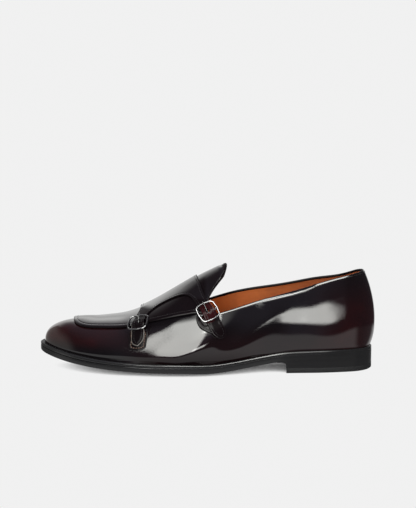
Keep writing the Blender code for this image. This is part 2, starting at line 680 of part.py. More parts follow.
def make_buckle(buckle, materials):
    across, up, outward = buckle_frame(buckle)[1]
    middle_line = FRAME_SIZE - FRAME_WIRE
    ring = [(x, y, FRAME_RISE) for x, y in rounded_square(middle_line, FRAME_CORNER)]
    sections = tube(in_buckle(buckle, ring), FRAME_WIRE / 2, outward, closed=True)
    frame = make_object("buckle_" + buckle.name, *loft(sections, around=True),
                        materials["buckle_metal"])

    reach = middle_line / 2
    bar = [(-reach, 0, FRAME_RISE), (-reach, 0, BAR_RISE + 0.8), (0.8 - reach, 0, BAR_RISE),
           (reach - 0.8, 0, BAR_RISE), (reach, 0, BAR_RISE + 0.8), (reach, 0, FRAME_RISE)]
    sections = tube(in_buckle(buckle, bar), BAR_WIRE / 2, up)
    guide = make_object("bar_" + buckle.name + "_guide", *loft(sections, True, True),
                        materials["buckle_metal"])
    guide.hide_render = True
    guide.display_type = "WIRE"
    union = frame.modifiers.new("bar", "BOOLEAN")
    union.operation = "UNION"
    union.solver = "EXACT"
    union.object = guide

    prong = [(0, up, out) for up, out in PRONG_PATH]
    radii = PRONG_WIRE / 2 * np.linspace(1.0, 0.8, len(prong))
    sections = tube(in_buckle(buckle, prong), radii, across)
    make_object("prong_" + buckle.name, *loft(sections, True, True), materials["buckle_metal"])


def make_materials():
    materials = {}
    for name, (colour, metallic, roughness) in COLOURS.items():
        material = bpy.data.materials.new(name)
        material.use_nodes = True
        shader = material.node_tree.nodes["Principled BSDF"]
        shader.inputs["Base Color"].default_value = colour
        shader.inputs["Metallic"].default_value = metallic
        shader.inputs["Roughness"].default_value = roughness
        materials[name] = material
    return materials


def main():
    for old in list(bpy.data.objects):
        bpy.data.objects.remove(old)
    materials = make_materials()
    make_outsole(materials)
    make_midsole(materials)
    make_top_lift(materials)
    make_heel_stack(materials)
    make_insole(materials)
    make_upper(materials)
    make_apron(materials)
    make_saddle(materials)
    make_tabs(materials)
    for buckle in BUCKLES:
        make_buckle(buckle, materials)


if __name__ == "__main__":
    main()
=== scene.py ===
"""Looks of a loafer with an apron front and a saddle that buckles with two straps, left shoe.

The toe points along -X, the outer side of the foot faces -Y, and the shoe stands on z = 0 with
the middle of its plan over the origin. Sizes and tables are in millimetres, and are drawn from a
point on the foot's own line; each finished mesh is moved to the origin and scaled to metres.

The upper, the apron and the saddle all follow one surface, the last. A point of the last has a
rib number u, which runs from the toe (0) along the outer side to the heel and back along the inner
side, and a share t, which runs from the sole (0) up over the foot to the ridge (1). A distance
"down" is measured along a rib from the ridge.
"""

from collections import namedtuple

import bmesh
import bpy
import numpy as np
from mathutils.geometry import delaunay_2d_cdt
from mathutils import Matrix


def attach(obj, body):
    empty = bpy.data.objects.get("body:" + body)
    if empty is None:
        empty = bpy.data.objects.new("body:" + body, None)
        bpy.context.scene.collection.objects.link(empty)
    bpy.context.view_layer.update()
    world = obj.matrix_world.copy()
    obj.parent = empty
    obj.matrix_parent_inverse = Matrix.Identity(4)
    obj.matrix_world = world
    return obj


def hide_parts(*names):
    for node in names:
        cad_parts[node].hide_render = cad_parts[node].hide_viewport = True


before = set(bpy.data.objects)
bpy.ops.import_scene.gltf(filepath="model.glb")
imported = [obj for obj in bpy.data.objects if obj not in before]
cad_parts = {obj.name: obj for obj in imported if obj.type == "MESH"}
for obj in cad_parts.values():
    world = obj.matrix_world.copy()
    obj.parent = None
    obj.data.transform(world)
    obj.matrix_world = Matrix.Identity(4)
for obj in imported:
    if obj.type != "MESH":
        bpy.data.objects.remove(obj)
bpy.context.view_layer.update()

bl_info = {
    "name": "Buckled Loafer",
    "version": (1, 0, 0),
    "blender": (4, 5, 0),
    "location": "View3D > Sidebar > Loafer",
    "description": "Makes a polished leather loafer with two buckled straps, piece by piece",
    "category": "Object",
}


# ---------------------------------------------------------------------------------- sizes

MM = 0.001
PER_METRE = 1000
PLAN_MIDDLE = (-0.25, -2.8, 0.0)    # middle of the whole shoe's plan, where the tables are drawn

# Driving dimensions
LENGTH = 297.0          # outsole, toe to heel
BALL_WIDTH = 103.0      # outsole, across the ball
INSTEP_HEIGHT = 85.0    # ridge of the last over the floor, where the foot goes in
HEEL_HEIGHT = 12.0      # underside of the outsole over the floor, at the heel

# Layers
GAP = 0.3               # between pieces that touch
OUTSOLE = 4.7
MIDSOLE = 3.0
INSOLE = 2.5
WALL = 2.0              # upper leather and lining
APRON = 1.8
STRAP = 1.2
TAB = 1.2
TOP_LIFT = 4.5
SOLE_PACK = OUTSOLE + GAP + MIDSOLE + GAP

# The tables are drawn for a shoe of these sizes, and graded to the driving dimensions.
DRAWN_LENGTH = 297.0
DRAWN_WIDTH = 103.0
DRAWN_INSTEP = 85.0
DRAWN_HEEL = 12.0
ALONG = LENGTH / DRAWN_LENGTH
ACROSS = BALL_WIDTH / DRAWN_WIDTH
UPWARD = INSTEP_HEIGHT / DRAWN_INSTEP
LIFT = HEEL_HEIGHT / DRAWN_HEEL

# Underside of the outsole along the shoe: toe spring, flat spot under the ball, waist, heel seat.
TREAD = [  # x, height, rise of the edges
    (-151, 15.2, 1.0), (-140, 12.6, 1.3), (-125, 9.6, 1.8), (-105, 5.9, 2.7), (-85, 3.0, 3.1),
    (-65, 1.1, 3.4), (-48, 0.15, 3.4), (-35, 0.0, 3.3), (-12, 0.0, 3.0), (4, 0.8, 2.4),
    (20, 3.1, 1.6), (40, 6.5, 0.8), (56, 9.0, 0.3), (66, 10.3, 0.0), (76, 11.0, 0.0),
    (90, 11.5, 0.0), (115, 12.0, 0.0), (148, 12.2, 0.0)]
CROWN_START = 17.0      # distance from the middle at which the edges begin to rise
CROWN_REACH = 52.0      # and at which they have their full rise

# Ridge of the last: its height, and how far it lies to the inner side.
RIDGE = [  # x, height, sideways
    (-110, 43.6, 3.0), (-97, 43.6, 3.3), (-87, 44.4, 3.7), (-73, 46.7, 4.1), (-60, 50.4, 4.6),
    (-45, 57.9, 5.0), (-27, 68.6, 5.0), (-11, 77.8, 5.0), (3, 85.2, 4.3), (16, 91.5, 3.5),
    (40, 101.0, 2.2), (70, 106.0, 1.0), (100, 107.0, 0.0), (125, 107.0, 0.0)]

# Ribs of the last from the toe to the heel. foot_x, outer_y and inner_y place a rib's two feet on
# the feather line, ledge is how far the sole stands out there, bulge and rise shape the rib's lower
# half, span its upper half, and apron is how far down from the ridge the apron ends.
Rib = namedtuple("Rib", "foot_x outer_y inner_y ledge outer_bulge inner_bulge rise "
                        "crest_x outer_span inner_span apron")
RIBS = [
    Rib(-146.6,   3.0,  3.0, 3.9,  1.5,  1.5, 15.0, -103.5, 26.5, 26.5, 16.9),
    Rib(-143.2,  -8.6, 14.2, 3.8,  1.5,  1.5, 15.0, -102.6, 25.0, 24.0, 18.2),
    Rib(-133.6, -19.0, 21.6, 4.0,  2.0,  2.0, 15.5,  -99.6, 21.0, 20.0, 22.8),
    Rib(-119.5, -29.2, 29.4, 4.3,  3.0,  2.5, 16.0,  -93.5, 20.0, 19.0, 27.0),
    Rib( -99.5, -37.8, 36.4, 4.5,  5.0,  4.0, 17.0,  -83.5, 20.0, 19.0, 28.6),
    Rib( -72.0, -45.0, 41.8, 4.6,  8.0,  6.0, 19.0,  -67.0, 20.0, 18.0, 32.5),
    Rib( -42.0, -49.2, 44.0, 4.6, 13.0, 10.0, 23.0,  -42.0, 18.0, 17.0, 39.6),
    Rib( -12.0, -48.8, 41.0, 4.4, 14.0, 11.0, 28.0,  -12.0, 16.0, 15.0, 47.2),
    Rib(  16.0, -43.0, 33.5, 3.8, 11.0, 10.0, 33.0,   16.0, 15.0, 14.0, 52.0),
    Rib(  44.0, -35.8, 28.5, 2.7,  8.0,  9.0, 36.0,   44.0, 17.0, 17.0, 54.0),
    Rib(  72.0, -31.6, 29.0, 2.0,  6.5,  7.5, 38.0,   72.0, 19.0, 19.0, 54.0),
    Rib(  97.0, -30.4, 30.2, 1.8,  5.5,  5.5, 38.0,   96.0, 21.0, 21.0, 54.0),
    Rib( 119.5, -27.0, 26.6, 1.6,  4.5,  4.5, 36.0,  112.0, 21.0, 21.0, 54.0),
    Rib( 137.6, -19.6, 19.4, 1.3,  7.5,  7.5, 33.0,  119.5, 19.0, 19.0, 54.0),
    Rib( 146.1,   0.0,  0.0, 1.2, 12.5, 12.5, 27.0,  120.0, 20.0, 20.0, 54.0)]
HEEL_RIB = len(RIBS) - 1
RIB_COUNT = 2 * HEEL_RIB

# Top edge of the quarters, from the throat to the heel.
THROAT_X = 1.3
TOPLINE = [  # x, outer height, inner height
    (1, 53.0, 57.0), (18.7, 57.2, 63.0), (42, 64.3, 68.1), (72, 72.5, 72.8), (101.5, 80.8, 78.2),
    (124, 85.9, 82.2), (139.3, 88.6, 88.6)]
UNDERLAP = 8.0          # how far the vamp reaches under the apron

# The tongue goes on from the apron. Each row runs from its free edge to the ridge.
TONGUE = [  # edge rib, edge down, crest rib
    (7.00, 47.2, 7.00), (7.30, 50.0, 7.25), (7.44, 48.5, 7.40), (7.43, 41.0, 7.52),
    (7.48, 34.5, 7.67), (7.64, 27.5, 7.82), (7.82, 21.5, 7.94), (7.93, 16.0, 8.04)]

# The saddle's edges and the tabs, as (x on the ridge, distance down the outer side of the foot).
SADDLE_FRONT = [(-65.0, -56), (-62.5, -38), (-59.8, -20), (-58.5, 0), (-59.6, 17), (-62.2, 28),
                (-63.2, 39), (-63.2, 51)]
FRONT_TIP = [(-63.2, 51), (-62.3, 54.6), (-58.3, 58.4), (-54.5, 54.6), (-53.6, 51)]
ARCH = [(-53.6, 51), (-53.5, 38), (-52.4, 30), (-49.0, 24.0), (-41.0, 19.3), (-30.0, 19.0),
        (-19.5, 22.8), (-13.0, 31.0), (-8.0, 42.5), (-1.0, 60.5), (1.8, 67.5)]
REAR_TIP = [(1.8, 67.5), (4.9, 73.2), (9.6, 76.8), (13.6, 76.4), (14.9, 73.2), (13.0, 66.5)]
SADDLE_REAR = [(13.0, 66.5), (6.6, 51.5), (1.8, 42.5), (-2.2, 33), (-5.6, 18), (-8.5, 0),
               (-7.5, -20), (-5.0, -45), (-3.0, -84)]
TAB_FRONT = [(-64.6, 40.5), (-64.8, 50), (-64.3, 57.4), (-59.5, 60.8), (-54.0, 61.4), (-52.6, 56),
             (-52.4, 46.0)]
TAB_REAR = [(-10.0, 50.8), (-9.2, 57.5), (-5.8, 63.8), (-0.6, 68.4), (5.0, 71.0), (9.3, 69.0),
            (9.4, 62.5), (7.4, 57.5)]

# Buckles: place of the middle on the shoe, lean of the strap from the rib, and the pieces' heights
# over the leather of the upper.
Buckle = namedtuple("Buckle", "name x down lean")
BUCKLES = [Buckle("front", -58.0, 37.8, 6.0), Buckle("rear", 0.3, 51.8, -24.0)]
FRAME_SIZE = 18.4       # of the square, outside
FRAME_CORNER = 3.6      # radius of its corners
FRAME_WIRE = 1.8
FRAME_RISE = 5.9
BAR_WIRE = 1.4
BAR_RISE = 3.3
PRONG_WIRE = 1.3
PRONG_PATH = [  # up the strap from the bar, height
    (0.2, 4.95), (1.8, 5.5), (3.4, 6.3), (5.6, 7.1), (8.3, 7.75), (9.8, 7.8)]
OVER_TAB = GAP + TAB + GAP + 0.05   # underside of a strap's end, over its tab
STRAP_CLEARANCE = 0.55  # from the bar to the strap over it
STRAP_HUMP = 6.0        # how fast a strap falls away on both sides of the bar
STRAP_REACH = 11.0      # half width over which it does so
ON_TAB = (-3.0, 0.0)    # up the strap, where it leaves its tab
APRON_STEP = (2.2, 7.5)     # where the saddle comes down from the apron, beyond its edge
STRAP_HOLE = (1.2, 2.3, 1.35)   # place up the strap, half length, half width


# Front face of the heel, its breast.
BREAST_X = 69.0
BREAST_HOLLOW = 1.5     # how far the middle of the heel's breast lies back
BREAST_LIP = [          # height under the outsole, how far forward the breast flares
    (4.5, 0.0), (2.1, 0.1), (1.4, 1.2), (0.7, 4.0), (0.0, 8.0)]


# ---------------------------------------------------------------------------------- finer sizes

SHARP_ANGLE = np.radians(50)    # edges sharper than this show as edges
DOUBLES = 2e-6          # points closer than this are one, in metres
RIB_PLACES = 61         # places up a rib between which distances are found
RIDGE_PLACES = 561      # places along the ridge between which ribs are found
TOPLINE_PASSES = 12     # how often the top edge's place is improved
HALVINGS = 30           # steps of the search for a height
RIM_PLACES = 1201       # places round the sole between which the heel's ends are found
PLATE_RIB_STEPS = 12    # plan lines of the sole per rib
PLATE_STEPS = 12        # places on half of such a line
HEEL_STEPS = 130        # places round the heel's rim
TOP_ROUND = 0.45        # radius of the outsole's upper edge at the toe
FOOT_ROUND = 1.1        # and of its lower edge in front of the heel
SHARP = 0.05            # radius of both where they meet another piece
HAIR = 0.02             # what parts pieces that look joined
GROOVE_ENDS = (-75, 5)  # where the groove between welt and outsole fades
LIFT_GROOVE = 0.015     # half width of the line between two lifts, as a share of the stack
SOCK_HOLLOW = 0.8       # how far the sock's middle lies under its rim
UPPER_STEPS = 16        # sections of the upper per rib
UPPER_ROWS = 56         # places up each section
TURN_IN = 1.0           # how far the leather goes down behind the rolled top edge
INTO_WELT = 0.6         # how far the leather's lower edge goes down into the welt
WELT_SHADE_SCALE = 0.38        # how much less a distance counts near the welt, so that the polish is cut back there as painted shade of the crevice
TONGUE_RIB = 7          # rib at which the apron goes on into the tongue
APRON_RIB_STEPS = 12    # rows of the apron per rib
APRON_COLUMNS = 26      # places on half of a row
TONGUE_STEPS = 26       # rows of the tongue
LINING_SHEET = 0.5      # lining of the apron and the tongue
TIP_ROUNDING = 1.3      # how far the tongue's tip bends down
APRON_SEAM = 3.6        # from the apron's edge to its seam
BINDING_RISE = 0.60     # height of the tongue's binding over the apron's face
BINDING_STEP = 0.70     # and over the tongue's own face
BINDING_ENDS = (2.6, 3.6)       # where that step starts and ends, from the edge
BINDING_SEAMS = ((2.1, 0.60), (3.9, -0.10))     # distances from the edge, and heights
BOUND_FROM = np.array([0.04, 0.10])     # where the binding starts, as a share past the apron
COLLAR_SEAM = 2.6       # from the top edge to the collar's seam
SADDLE_SPACING = 0.9    # points along the saddle's edge
TAB_SPACING = 0.8       # and along a tab's edge
SEAM_INSET = 2.0        # from the saddle's edge to its seam
TAB_SEAM_INSET = 1.5    # from a tab's edge to its seam
THREAD_RISE = 0.1       # height of a thread's middle over the leather
SEAM_DEPTH = {"apron": 0.2, "saddle": 0.16, "tab": 0.12}    # how far a seam draws the leather in
LINING_INSET = 1.9      # how far the tongue's lining ends inside its edge
LINING_SINK = 0.06      # how far linings reach into the leather over them
TABS = {"tab_front": TAB_FRONT, "tab_rear": TAB_REAR}

# The quarters roll inward at their top edge.
COLLAR_ROLL = [  # x, width of the roll, how far it leans in
    (14, 1.2, 0.1), (28, 2.4, 0.3), (42, 3.8, 0.8), (56, 5.0, 1.6), (72, 5.5, 2.1), (84, 4.8, 1.8),
    (96, 3.4, 1.0), (110, 2.6, 0.7), (150, 2.4, 0.5)]
INNER_ROLL = 0.3        # share of that lean on the inner side

# Distances from an edge at which a piece has points of its own.
EDGE_STOPS = np.array([0, 0.1, 0.25, 0.45, 0.7, 1.0, 1.3, 1.6, 1.8, 2.0, 2.2, 2.5, 3.0])
APRON_STOPS = np.array([0, 0.08, 0.2, 0.4, 0.65, 0.95, 1.25, 1.7, 2.2, 2.7, 3.1, 3.4, 3.7, 4.0,
                        4.5, 5.2])
HOLE_MARGIN = 0.25      # how close to a hole a panel has none but the hole's own

# Soft creases and swellings of the upper. Each is a line through (x, z) on one side of the foot,
# turned by an angle from level, with its length, its half width and how far it rises.
Crease = namedtuple("Crease", "outer x z angle length width rise")
CREASES = [
    Crease(True, -13, 23, 34, 70, 8, 1.5),
    Crease(True, -43, 47, 27, 51, 8, 1.5),
    Crease(True, -39, 32, 28, 108, 11, -1.15),
    Crease(True, -10, 44, -25, 135, 25, 0.75),
    Crease(True, -14, 48, 20, 81, 11.4, -0.6),
    Crease(True, 37, 32, 44, 66, 13, 1.4),
    Crease(True, 62, 70, 34, 38, 19, 0.5),
    Crease(True, 95, 60, -32, 41, 19, -0.3),
    Crease(True, 120, 38, 45, 55, 19, 0.9),
    Crease(False, -80, 40, 120, 34, 6, -0.10),
    Crease(False, -60, 46, 116, 36, 6, 0.10),
    Crease(False, 10, 55, 150, 50, 8, -0.10),
    Crease(False, 70, 52, 95, 50, 9, 0.10),
    Crease(False, 105, 48, 100, 44, 8, -0.08)]


# ---------------------------------------------------------------------------------- settings

def colour_setting(name, description, *value):
    return bpy.props.FloatVectorProperty(name=name, description=description, subtype="COLOR",
                                         size=4, min=0, max=1, default=value + (1,))


def length_setting(name, description, value, low, high):
    return bpy.props.FloatProperty(name=name, description=description, subtype="DISTANCE",
                                   unit="LENGTH", min=low, max=high, default=value)


def share_setting(name, description, value, high=1):
    return bpy.props.FloatProperty(name=name, description=description, subtype="FACTOR",
                                   min=0, max=high, default=value)


class LeatherSettings(bpy.types.PropertyGroup):
    """Sizes and colours of the leathers."""
    black: colour_setting("Black", "Colour of the leather where the black dye is thick",
                          0.0036, 0.0028, 0.0034)
    burgundy: colour_setting(
        "Burgundy", "Colour where the black is rubbed back at the toe and the heel",
        0.0130, 0.0026, 0.0030)
    edge: colour_setting("Edge", "Colour of the leather's worn edges", 0.0120, 0.0100, 0.0110)
    polish: share_setting("Polish roughness", "Roughness of the polished coat", 0.035)
    lining: colour_setting("Lining", "Colour of the lining and the sock", 0.58, 0.165, 0.034)
    outer_leather: length_setting("Outer leather", "Thickness of the upper's outer leather",
                                  0.00115, 0.0006, 0.0016)
    relief: share_setting("Creases", "Share of their full depth that the creases have", 1.0, 2)


class SoleSettings(bpy.types.PropertyGroup):
    """Sizes and colours of the sole and the heel."""
    dressing: colour_setting("Edge dressing", "Colour of the dyed edges", 0.0080, 0.0079, 0.0082)
    rubber: colour_setting("Rubber", "Colour of the top lift", 0.0080, 0.0080, 0.0084)
    lifts: bpy.props.IntProperty(name="Heel lifts", min=1, max=6, default=1,
                                 description="Layers of leather in the heel stack")
    rim: length_setting("Welt rim", "Width of the bevel along the top of the welt",
                        0.0010, 0.0002, 0.0015)


class StitchSettings(bpy.types.PropertyGroup):
    """Sizes and colours of the seams."""
    pitch: length_setting("Pitch", "Distance from stitch to stitch", 0.0022, 0.001, 0.005)
    length: length_setting("Length", "Visible length of a stitch", 0.0017, 0.0005, 0.004)
    thickness: length_setting("Thickness", "Thickness of the thread", 0.00042, 0.0002, 0.001)
    thread: colour_setting("Thread", "Colour of the dark thread", 0.0100, 0.0090, 0.0095)
    tab_thread: colour_setting("Tab thread", "Colour of the front tab's thread", 0.17, 0.10, 0.07)


class BuckleSettings(bpy.types.PropertyGroup):
    """Finish of the buckles."""
    metal: colour_setting("Metal", "Colour of the polished metal", 0.17, 0.17, 0.175)
    wire: length_setting("Wire", "Thickness of the frames' wire", 0.0014, 0.0008, 0.0018)
    bow: length_setting("Bow", "How far the frame's sides bow outward", 0.0005, 0, 0.002)


class StageSettings(bpy.types.PropertyGroup):
    """Backdrop, lights and camera."""
    backdrop: share_setting("Backdrop", "Brightness of the floor and the backdrop", 0.877)
    softbox: bpy.props.FloatProperty(name="Softbox", description="Brightness of the softboxes",
                                     min=0, max=40, default=10.5)
    pitch: bpy.props.FloatProperty(name="Camera pitch", description="How far the camera looks down",
                                   subtype="ANGLE", min=0, max=1.5, default=np.radians(8.0))
    distance: length_setting("Camera distance", "From the camera to the point it looks at",
                             1.4304, 0.2, 5)


SETTINGS = {"leather": LeatherSettings, "sole": SoleSettings, "stitch": StitchSettings,
            "buckle": BuckleSettings, "stage": StageSettings}


def settings(name):
    """One group of the scene's loafer settings."""
    return getattr(bpy.context.scene, "loafer_" + name)


# ---------------------------------------------------------------------------------- nodes

def arithmetic(operation, swapped=False):
    """Method that joins a socket and another value with a Math node."""
    def method(self, other):
        values = (other, self) if swapped else (self, other)
        return self.tree.node("ShaderNodeMath", {"operation": operation}, dict(enumerate(values)))
    return method


class Socket:
    """A node's output. Arithmetic on it adds Math nodes to its tree."""

    def __init__(self, tree, output):
        self.tree = tree
        self.output = output

    __add__ = arithmetic("ADD")
    __radd__ = arithmetic("ADD", swapped=True)
    __sub__ = arithmetic("SUBTRACT")
    __rsub__ = arithmetic("SUBTRACT", swapped=True)
    __mul__ = arithmetic("MULTIPLY")
    __rmul__ = arithmetic("MULTIPLY", swapped=True)
    __pow__ = arithmetic("POWER")
    at_most = arithmetic("MINIMUM")


class Tree:
    """A node tree that nodes are added to, each with its settings first and then its inputs."""

    def __init__(self, tree):
        self.tree = tree
        self.tree.nodes.clear()

    def node(self, kind, options=None, inputs=None, output=0):
        made = self.tree.nodes.new(kind)
        for name, value in (options or {}).items():
            setattr(made, name, value)
        for key, value in (inputs or {}).items():
            if isinstance(value, Socket):
                self.tree.links.new(value.output, made.inputs[key])
            else:
                made.inputs[key].default_value = value
        return Socket(self, made.outputs[output] if made.outputs else None)

    def coordinates(self, kind):
        return self.node("ShaderNodeTexCoord", output=kind)

    def parts(self, vector):
        """The x, y and z of a vector."""
        return [self.node("ShaderNodeSeparateXYZ", {}, {0: vector}, axis) for axis in range(3)]

    def step(self, value, start, end):
        """0 where value is at start, 1 where it is at end, smooth between."""
        return self.node("ShaderNodeMapRange", {"interpolation_type": "SMOOTHSTEP"},
                         {"Value": value, "From Min": start, "From Max": end})

    def mix(self, factor, first, second):
        """Colour between two colours."""
        return self.node("ShaderNodeMix", {"data_type": "RGBA", "clamp_factor": True},
                         {0: factor, 6: first, 7: second}, 2)

    def noise(self, scale, detail=2.0, roughness=0.5, vector=None):
        """Noise over the object's own coordinates, with about scale grains per metre."""
        return self.node("ShaderNodeTexNoise", {}, {
            "Vector": vector or self.coordinates("Object"), "Scale": scale, "Detail": detail,
            "Roughness": roughness})

    def stretched(self, scale):
        """The object's own coordinates, scaled along each axis."""
        return self.node("ShaderNodeMapping", {},
                         {"Vector": self.coordinates("Object"), "Scale": scale})

    def bump(self, height, depth, below=None):
        """Normal of a surface whose relief is height times depth in metres."""
        inputs = {"Height": height, "Distance": depth, "Strength": 1.0}
        if below:
            inputs["Normal"] = below
        return self.node("ShaderNodeBump", {}, inputs)

    def finish(self, **inputs):
        """Principled surface with these inputs, joined to the material's output."""
        named = {key.replace("_", " ").title().replace("Ior", "IOR"): value
                 for key, value in inputs.items()}
        shader = self.node("ShaderNodeBsdfPrincipled", {}, named)
        self.node("ShaderNodeOutputMaterial", {}, {"Surface": shader})


def places(tree):
    """The object's own x, y and z in millimetres, as three values."""
    return [part * PER_METRE for part in tree.parts(tree.coordinates("Object"))]


# ---------------------------------------------------------------------------------- finishes

FAINT_GLOW = 0.10       # share of burgundy where the black is hardly rubbed
ON_STRAP = 3            # height over the upper of a strap's face
FRONT_HIGHLIGHT_SPOT = (-17, 110, 80)      # painted highlight at the end of the front strap: place up the strap, then far and near
REAR_BUCKLE = (0, 80, 50)       # the strap inside the rear buckle, as above
UNDER_BUCKLE = (-7, 620, 430)   # a strap's end, as above
# pale colour painted on the front strap's worn edge as a highlight
EDGE_HIGHLIGHT_TINT = (0.11, 0.10, 0.09, 1)
EDGE_COAT = 0.10        # what is left of the polish on worn edges


def tinted(colour, factor, more=0.0):
    """A colour times a factor, or times one factor for each of its parts."""
    factors = np.broadcast_to(factor, 3)
    return tuple(min(1, value * by + more) for value, by in zip(colour, factors)) + (1,)


def on_strap(tree, x, y, z, buckle, up, far, near):
    """1 near a place up a buckle's strap and 0 far from it, by squares of distances seen from the
    outer side."""
    middle = in_buckle(buckle, (0, up, ON_STRAP))
    away = (x - middle[0]) * (x - middle[0]) + (z - middle[2]) * (z - middle[2])
    return tree.step(away, far, near) * tree.step(y, 0, -5)


def strap_ends(tree, x, y, z):
    """Round the straps' ends, under both buckles, where the polish is thin."""
    masks = []
    for buckle in BUCKLES:
        height = in_buckle(buckle, (0, UNDER_BUCKLE[0], ON_STRAP))[2]
        below = tree.step(z, height + 18, height + 14)
        masks.append(on_strap(tree, x, y, z, buckle, *UNDER_BUCKLE) * below)
    return masks[0] + masks[1]


def painted_shade_mask(tree, x, y, z):
    """Mask of painted shade, where the polish is cut back: the leather framed by the arch, over the
    line between the two buckles, and the low part of the waist, close to the shoe's own shadow."""
    front, rear = [in_buckle(buckle, (0, 0, 0)) for buckle in BUCKLES]
    slope = (rear[2] - front[2]) / (rear[0] - front[0])
    over = z - (x - front[0]) * slope - front[2]
    between = tree.step(x, front[0], front[0] + 4) * tree.step(x, rear[0], rear[0] - 4)
    arch = between * tree.step(over, -4, 0) * tree.step(y, 0, -5)
    low = tree.step(z, 24, 12) * tree.step(x, -80, -40) * tree.step(x, 60, 20)
    return arch + 0.5 * low


def upper_glow(tree, x, y, z):
    """The toe's lower side, the heel and a low band of the quarters."""
    toe = tree.step(x, -66, -100) * tree.step(z, 60, 34) * tree.step(z, 21, 34)
    heel = tree.step(x, 78, 132) * tree.step(z, 92, 50)
    low = tree.step(z, 46, 26) * 0.35 * (1 - tree.step(z, 28, 18) * tree.step(x, -55, -80))
    return (toe + heel * 0.8 + low).at_most(1.0)


def polished_leather(tree, waves, edge_line=0.8, glow=None, shaded=False, strap=False,
                     painted_edge_highlight=False):
    """Black leather with burgundy rubbed through where the glow is high, under a clear polish.
    waves is the depth of its slow unevenness, in metres, and edge_line the width of its worn
    edges. The polish is thin at worn edges and round a strap's end; it is cut back as painted shade
    under the arch, low on the waist and along the upper's welt, and the front strap's edge gets a
    pale painted highlight."""
    leather = settings("leather")
    place = places(tree)
    cloud = tree.step(tree.noise(38, 3.0), 0.32, 0.68)
    rubbed = (glow(tree, *place) if glow else FAINT_GLOW) * (0.55 + 0.45 * cloud)
    colour = tree.mix(rubbed, tuple(leather.black), tuple(leather.burgundy))
    coat = 0.97 + 0.03 * cloud
    edge_coat = EDGE_COAT
    if strap:
        ends = strap_ends(tree, *place)
        in_frame = on_strap(tree, *place, BUCKLES[1], *REAR_BUCKLE)
        colour = tree.mix(in_frame, colour, tinted(leather.burgundy, 1.7))
        coat = coat * (1 - 0.88 * ends)
        edge_coat = EDGE_COAT + 0.35 * ends
    # painted shade: the polish cut back under the arch and low on the waist
    if shaded:
        coat = coat * (1 - 0.8 * painted_shade_mask(tree, *place))
    # Worn edges lose their polish; on the upper the same mask near the welt is painted shade of the
    # crevice.
    edge = tree.node("ShaderNodeAttribute", {"attribute_name": "edge"}, output="Fac")
    worn = 1 - tree.step(edge, 0.15, edge_line)
    colour = tree.mix(worn * 0.25, colour, tuple(leather.edge))
    # painted highlight: the front strap's worn edge made pale
    if painted_edge_highlight:
        cut = worn * on_strap(tree, *place, BUCKLES[0], *FRONT_HIGHLIGHT_SPOT)
        colour = tree.mix(cut, colour, EDGE_HIGHLIGHT_TINT)
    grain = tree.bump(tree.noise(2600, 3.0, 0.6), 0.000012, tree.bump(tree.noise(26, 1.0), waves))
    tree.finish(base_color=colour, roughness=0.24 + 0.10 * cloud + 0.15 * worn,
                specular_ior_level=0.0, coat_weight=coat * (1 - worn) + worn * edge_coat,
                coat_roughness=leather.polish, coat_ior=1.5, normal=grain, coat_normal=grain)


def lining_leather(tree):
    """Vegetable tanned lining leather: matte, mottled, with fine pores, and darker towards the heel
    as painted shade.
    """
    tan = tuple(settings("leather").lining)
    cloud = tree.step(tree.noise(60, 4.0, 0.6), 0.3, 0.7)
    pores = tree.node("ShaderNodeTexVoronoi", {"feature": "DISTANCE_TO_EDGE"},
                      {"Vector": tree.coordinates("Object"), "Scale": 1300})
    fine = tree.noise(3200, 2.0)
    colour = tree.mix(cloud * 0.55 + fine * 0.2, tan, tinted(tan, 0.62))
    # painted shade: the lining darker towards the heel, deep inside the shoe
    worn = tree.step(places(tree)[0], 25, 115) * 0.8
    colour = tree.mix(worn, colour, tinted(tan, (0.42, 0.38, 0.55)))
    relief = tree.bump(pores.at_most(0.25), 0.00010)
    tree.finish(base_color=colour, roughness=0.56 + 0.16 * fine, specular_ior_level=0.2,
                normal=tree.bump(fine, 0.00002, relief))


def dyed_edge(tree, lines=0.00004, shade=1.0, coat=0.5):
    """Dyed and waxed leather edge, with the fine level lines of its layers. Its wax is thin
    at the toe and round the heel."""
    dressing = tuple(settings("sole").dressing)
    layers = tree.noise(1.0, 3.0, 0.6, tree.stretched((60, 60, 1500)))
    cloud = tree.noise(90, 3.0)
    colour = tree.mix(layers * 0.5 + cloud * 0.3 * shade, dressing, tinted(dressing, 2.1))
    relief = tree.bump(layers, lines, tree.bump(cloud, 0.0001))
    x = places(tree)[0]
    ends = 0.7 * tree.step(x, 58, 76) + 0.75 * tree.step(x, -128, -142)
    tree.finish(base_color=colour, roughness=0.34 + 0.16 * cloud, specular_ior_level=0.0,
                coat_weight=coat * (1 - ends), coat_roughness=0.12, normal=relief)


def fine_rubber(tree):
    rubber = tuple(settings("sole").rubber)
    speck = tree.noise(1400, 3.0, 0.7)
    colour = tree.mix(speck * 0.5, rubber, tinted(rubber, 2.0))
    tree.finish(base_color=colour, roughness=0.55 + 0.2 * speck, specular_ior_level=0.1,
                normal=tree.bump(speck, 0.00005))


def polished_metal(tree, share=1.0):
    """Polished nickel with faint wipe marks, at a share of its colour; a low share is painted
    shade.
    """
    metal = tinted(settings("buckle").metal, share)
    cloud = tree.noise(420, 3.0)
    colour = tree.mix(cloud * 0.7, metal, tinted(metal, (0.90, 0.885, 0.86)))
    wipes = tree.noise(1.0, 2.0, 0.5, tree.stretched((300, 300, 5200)))
    tree.finish(base_color=colour, metallic=1.0, roughness=0.09 + 0.09 * cloud,
                normal=tree.bump(wipes, 0.000006))


def waxed_thread(tree, setting):
    """Thread in the colour of a setting, with its twist and a slow change of shade."""
    thread = tuple(getattr(settings("stitch"), setting))
    fibre = tree.noise(5200, 2.0)
    slow = tree.noise(300, 2.0)
    colour = tree.mix(fibre * 0.5 + slow * 0.4, thread, tinted(thread, 1.7, 0.01))
    tree.finish(base_color=colour, roughness=0.42 + 0.2 * slow, specular_ior_level=0.15,
                normal=tree.bump(fibre, 0.00003))


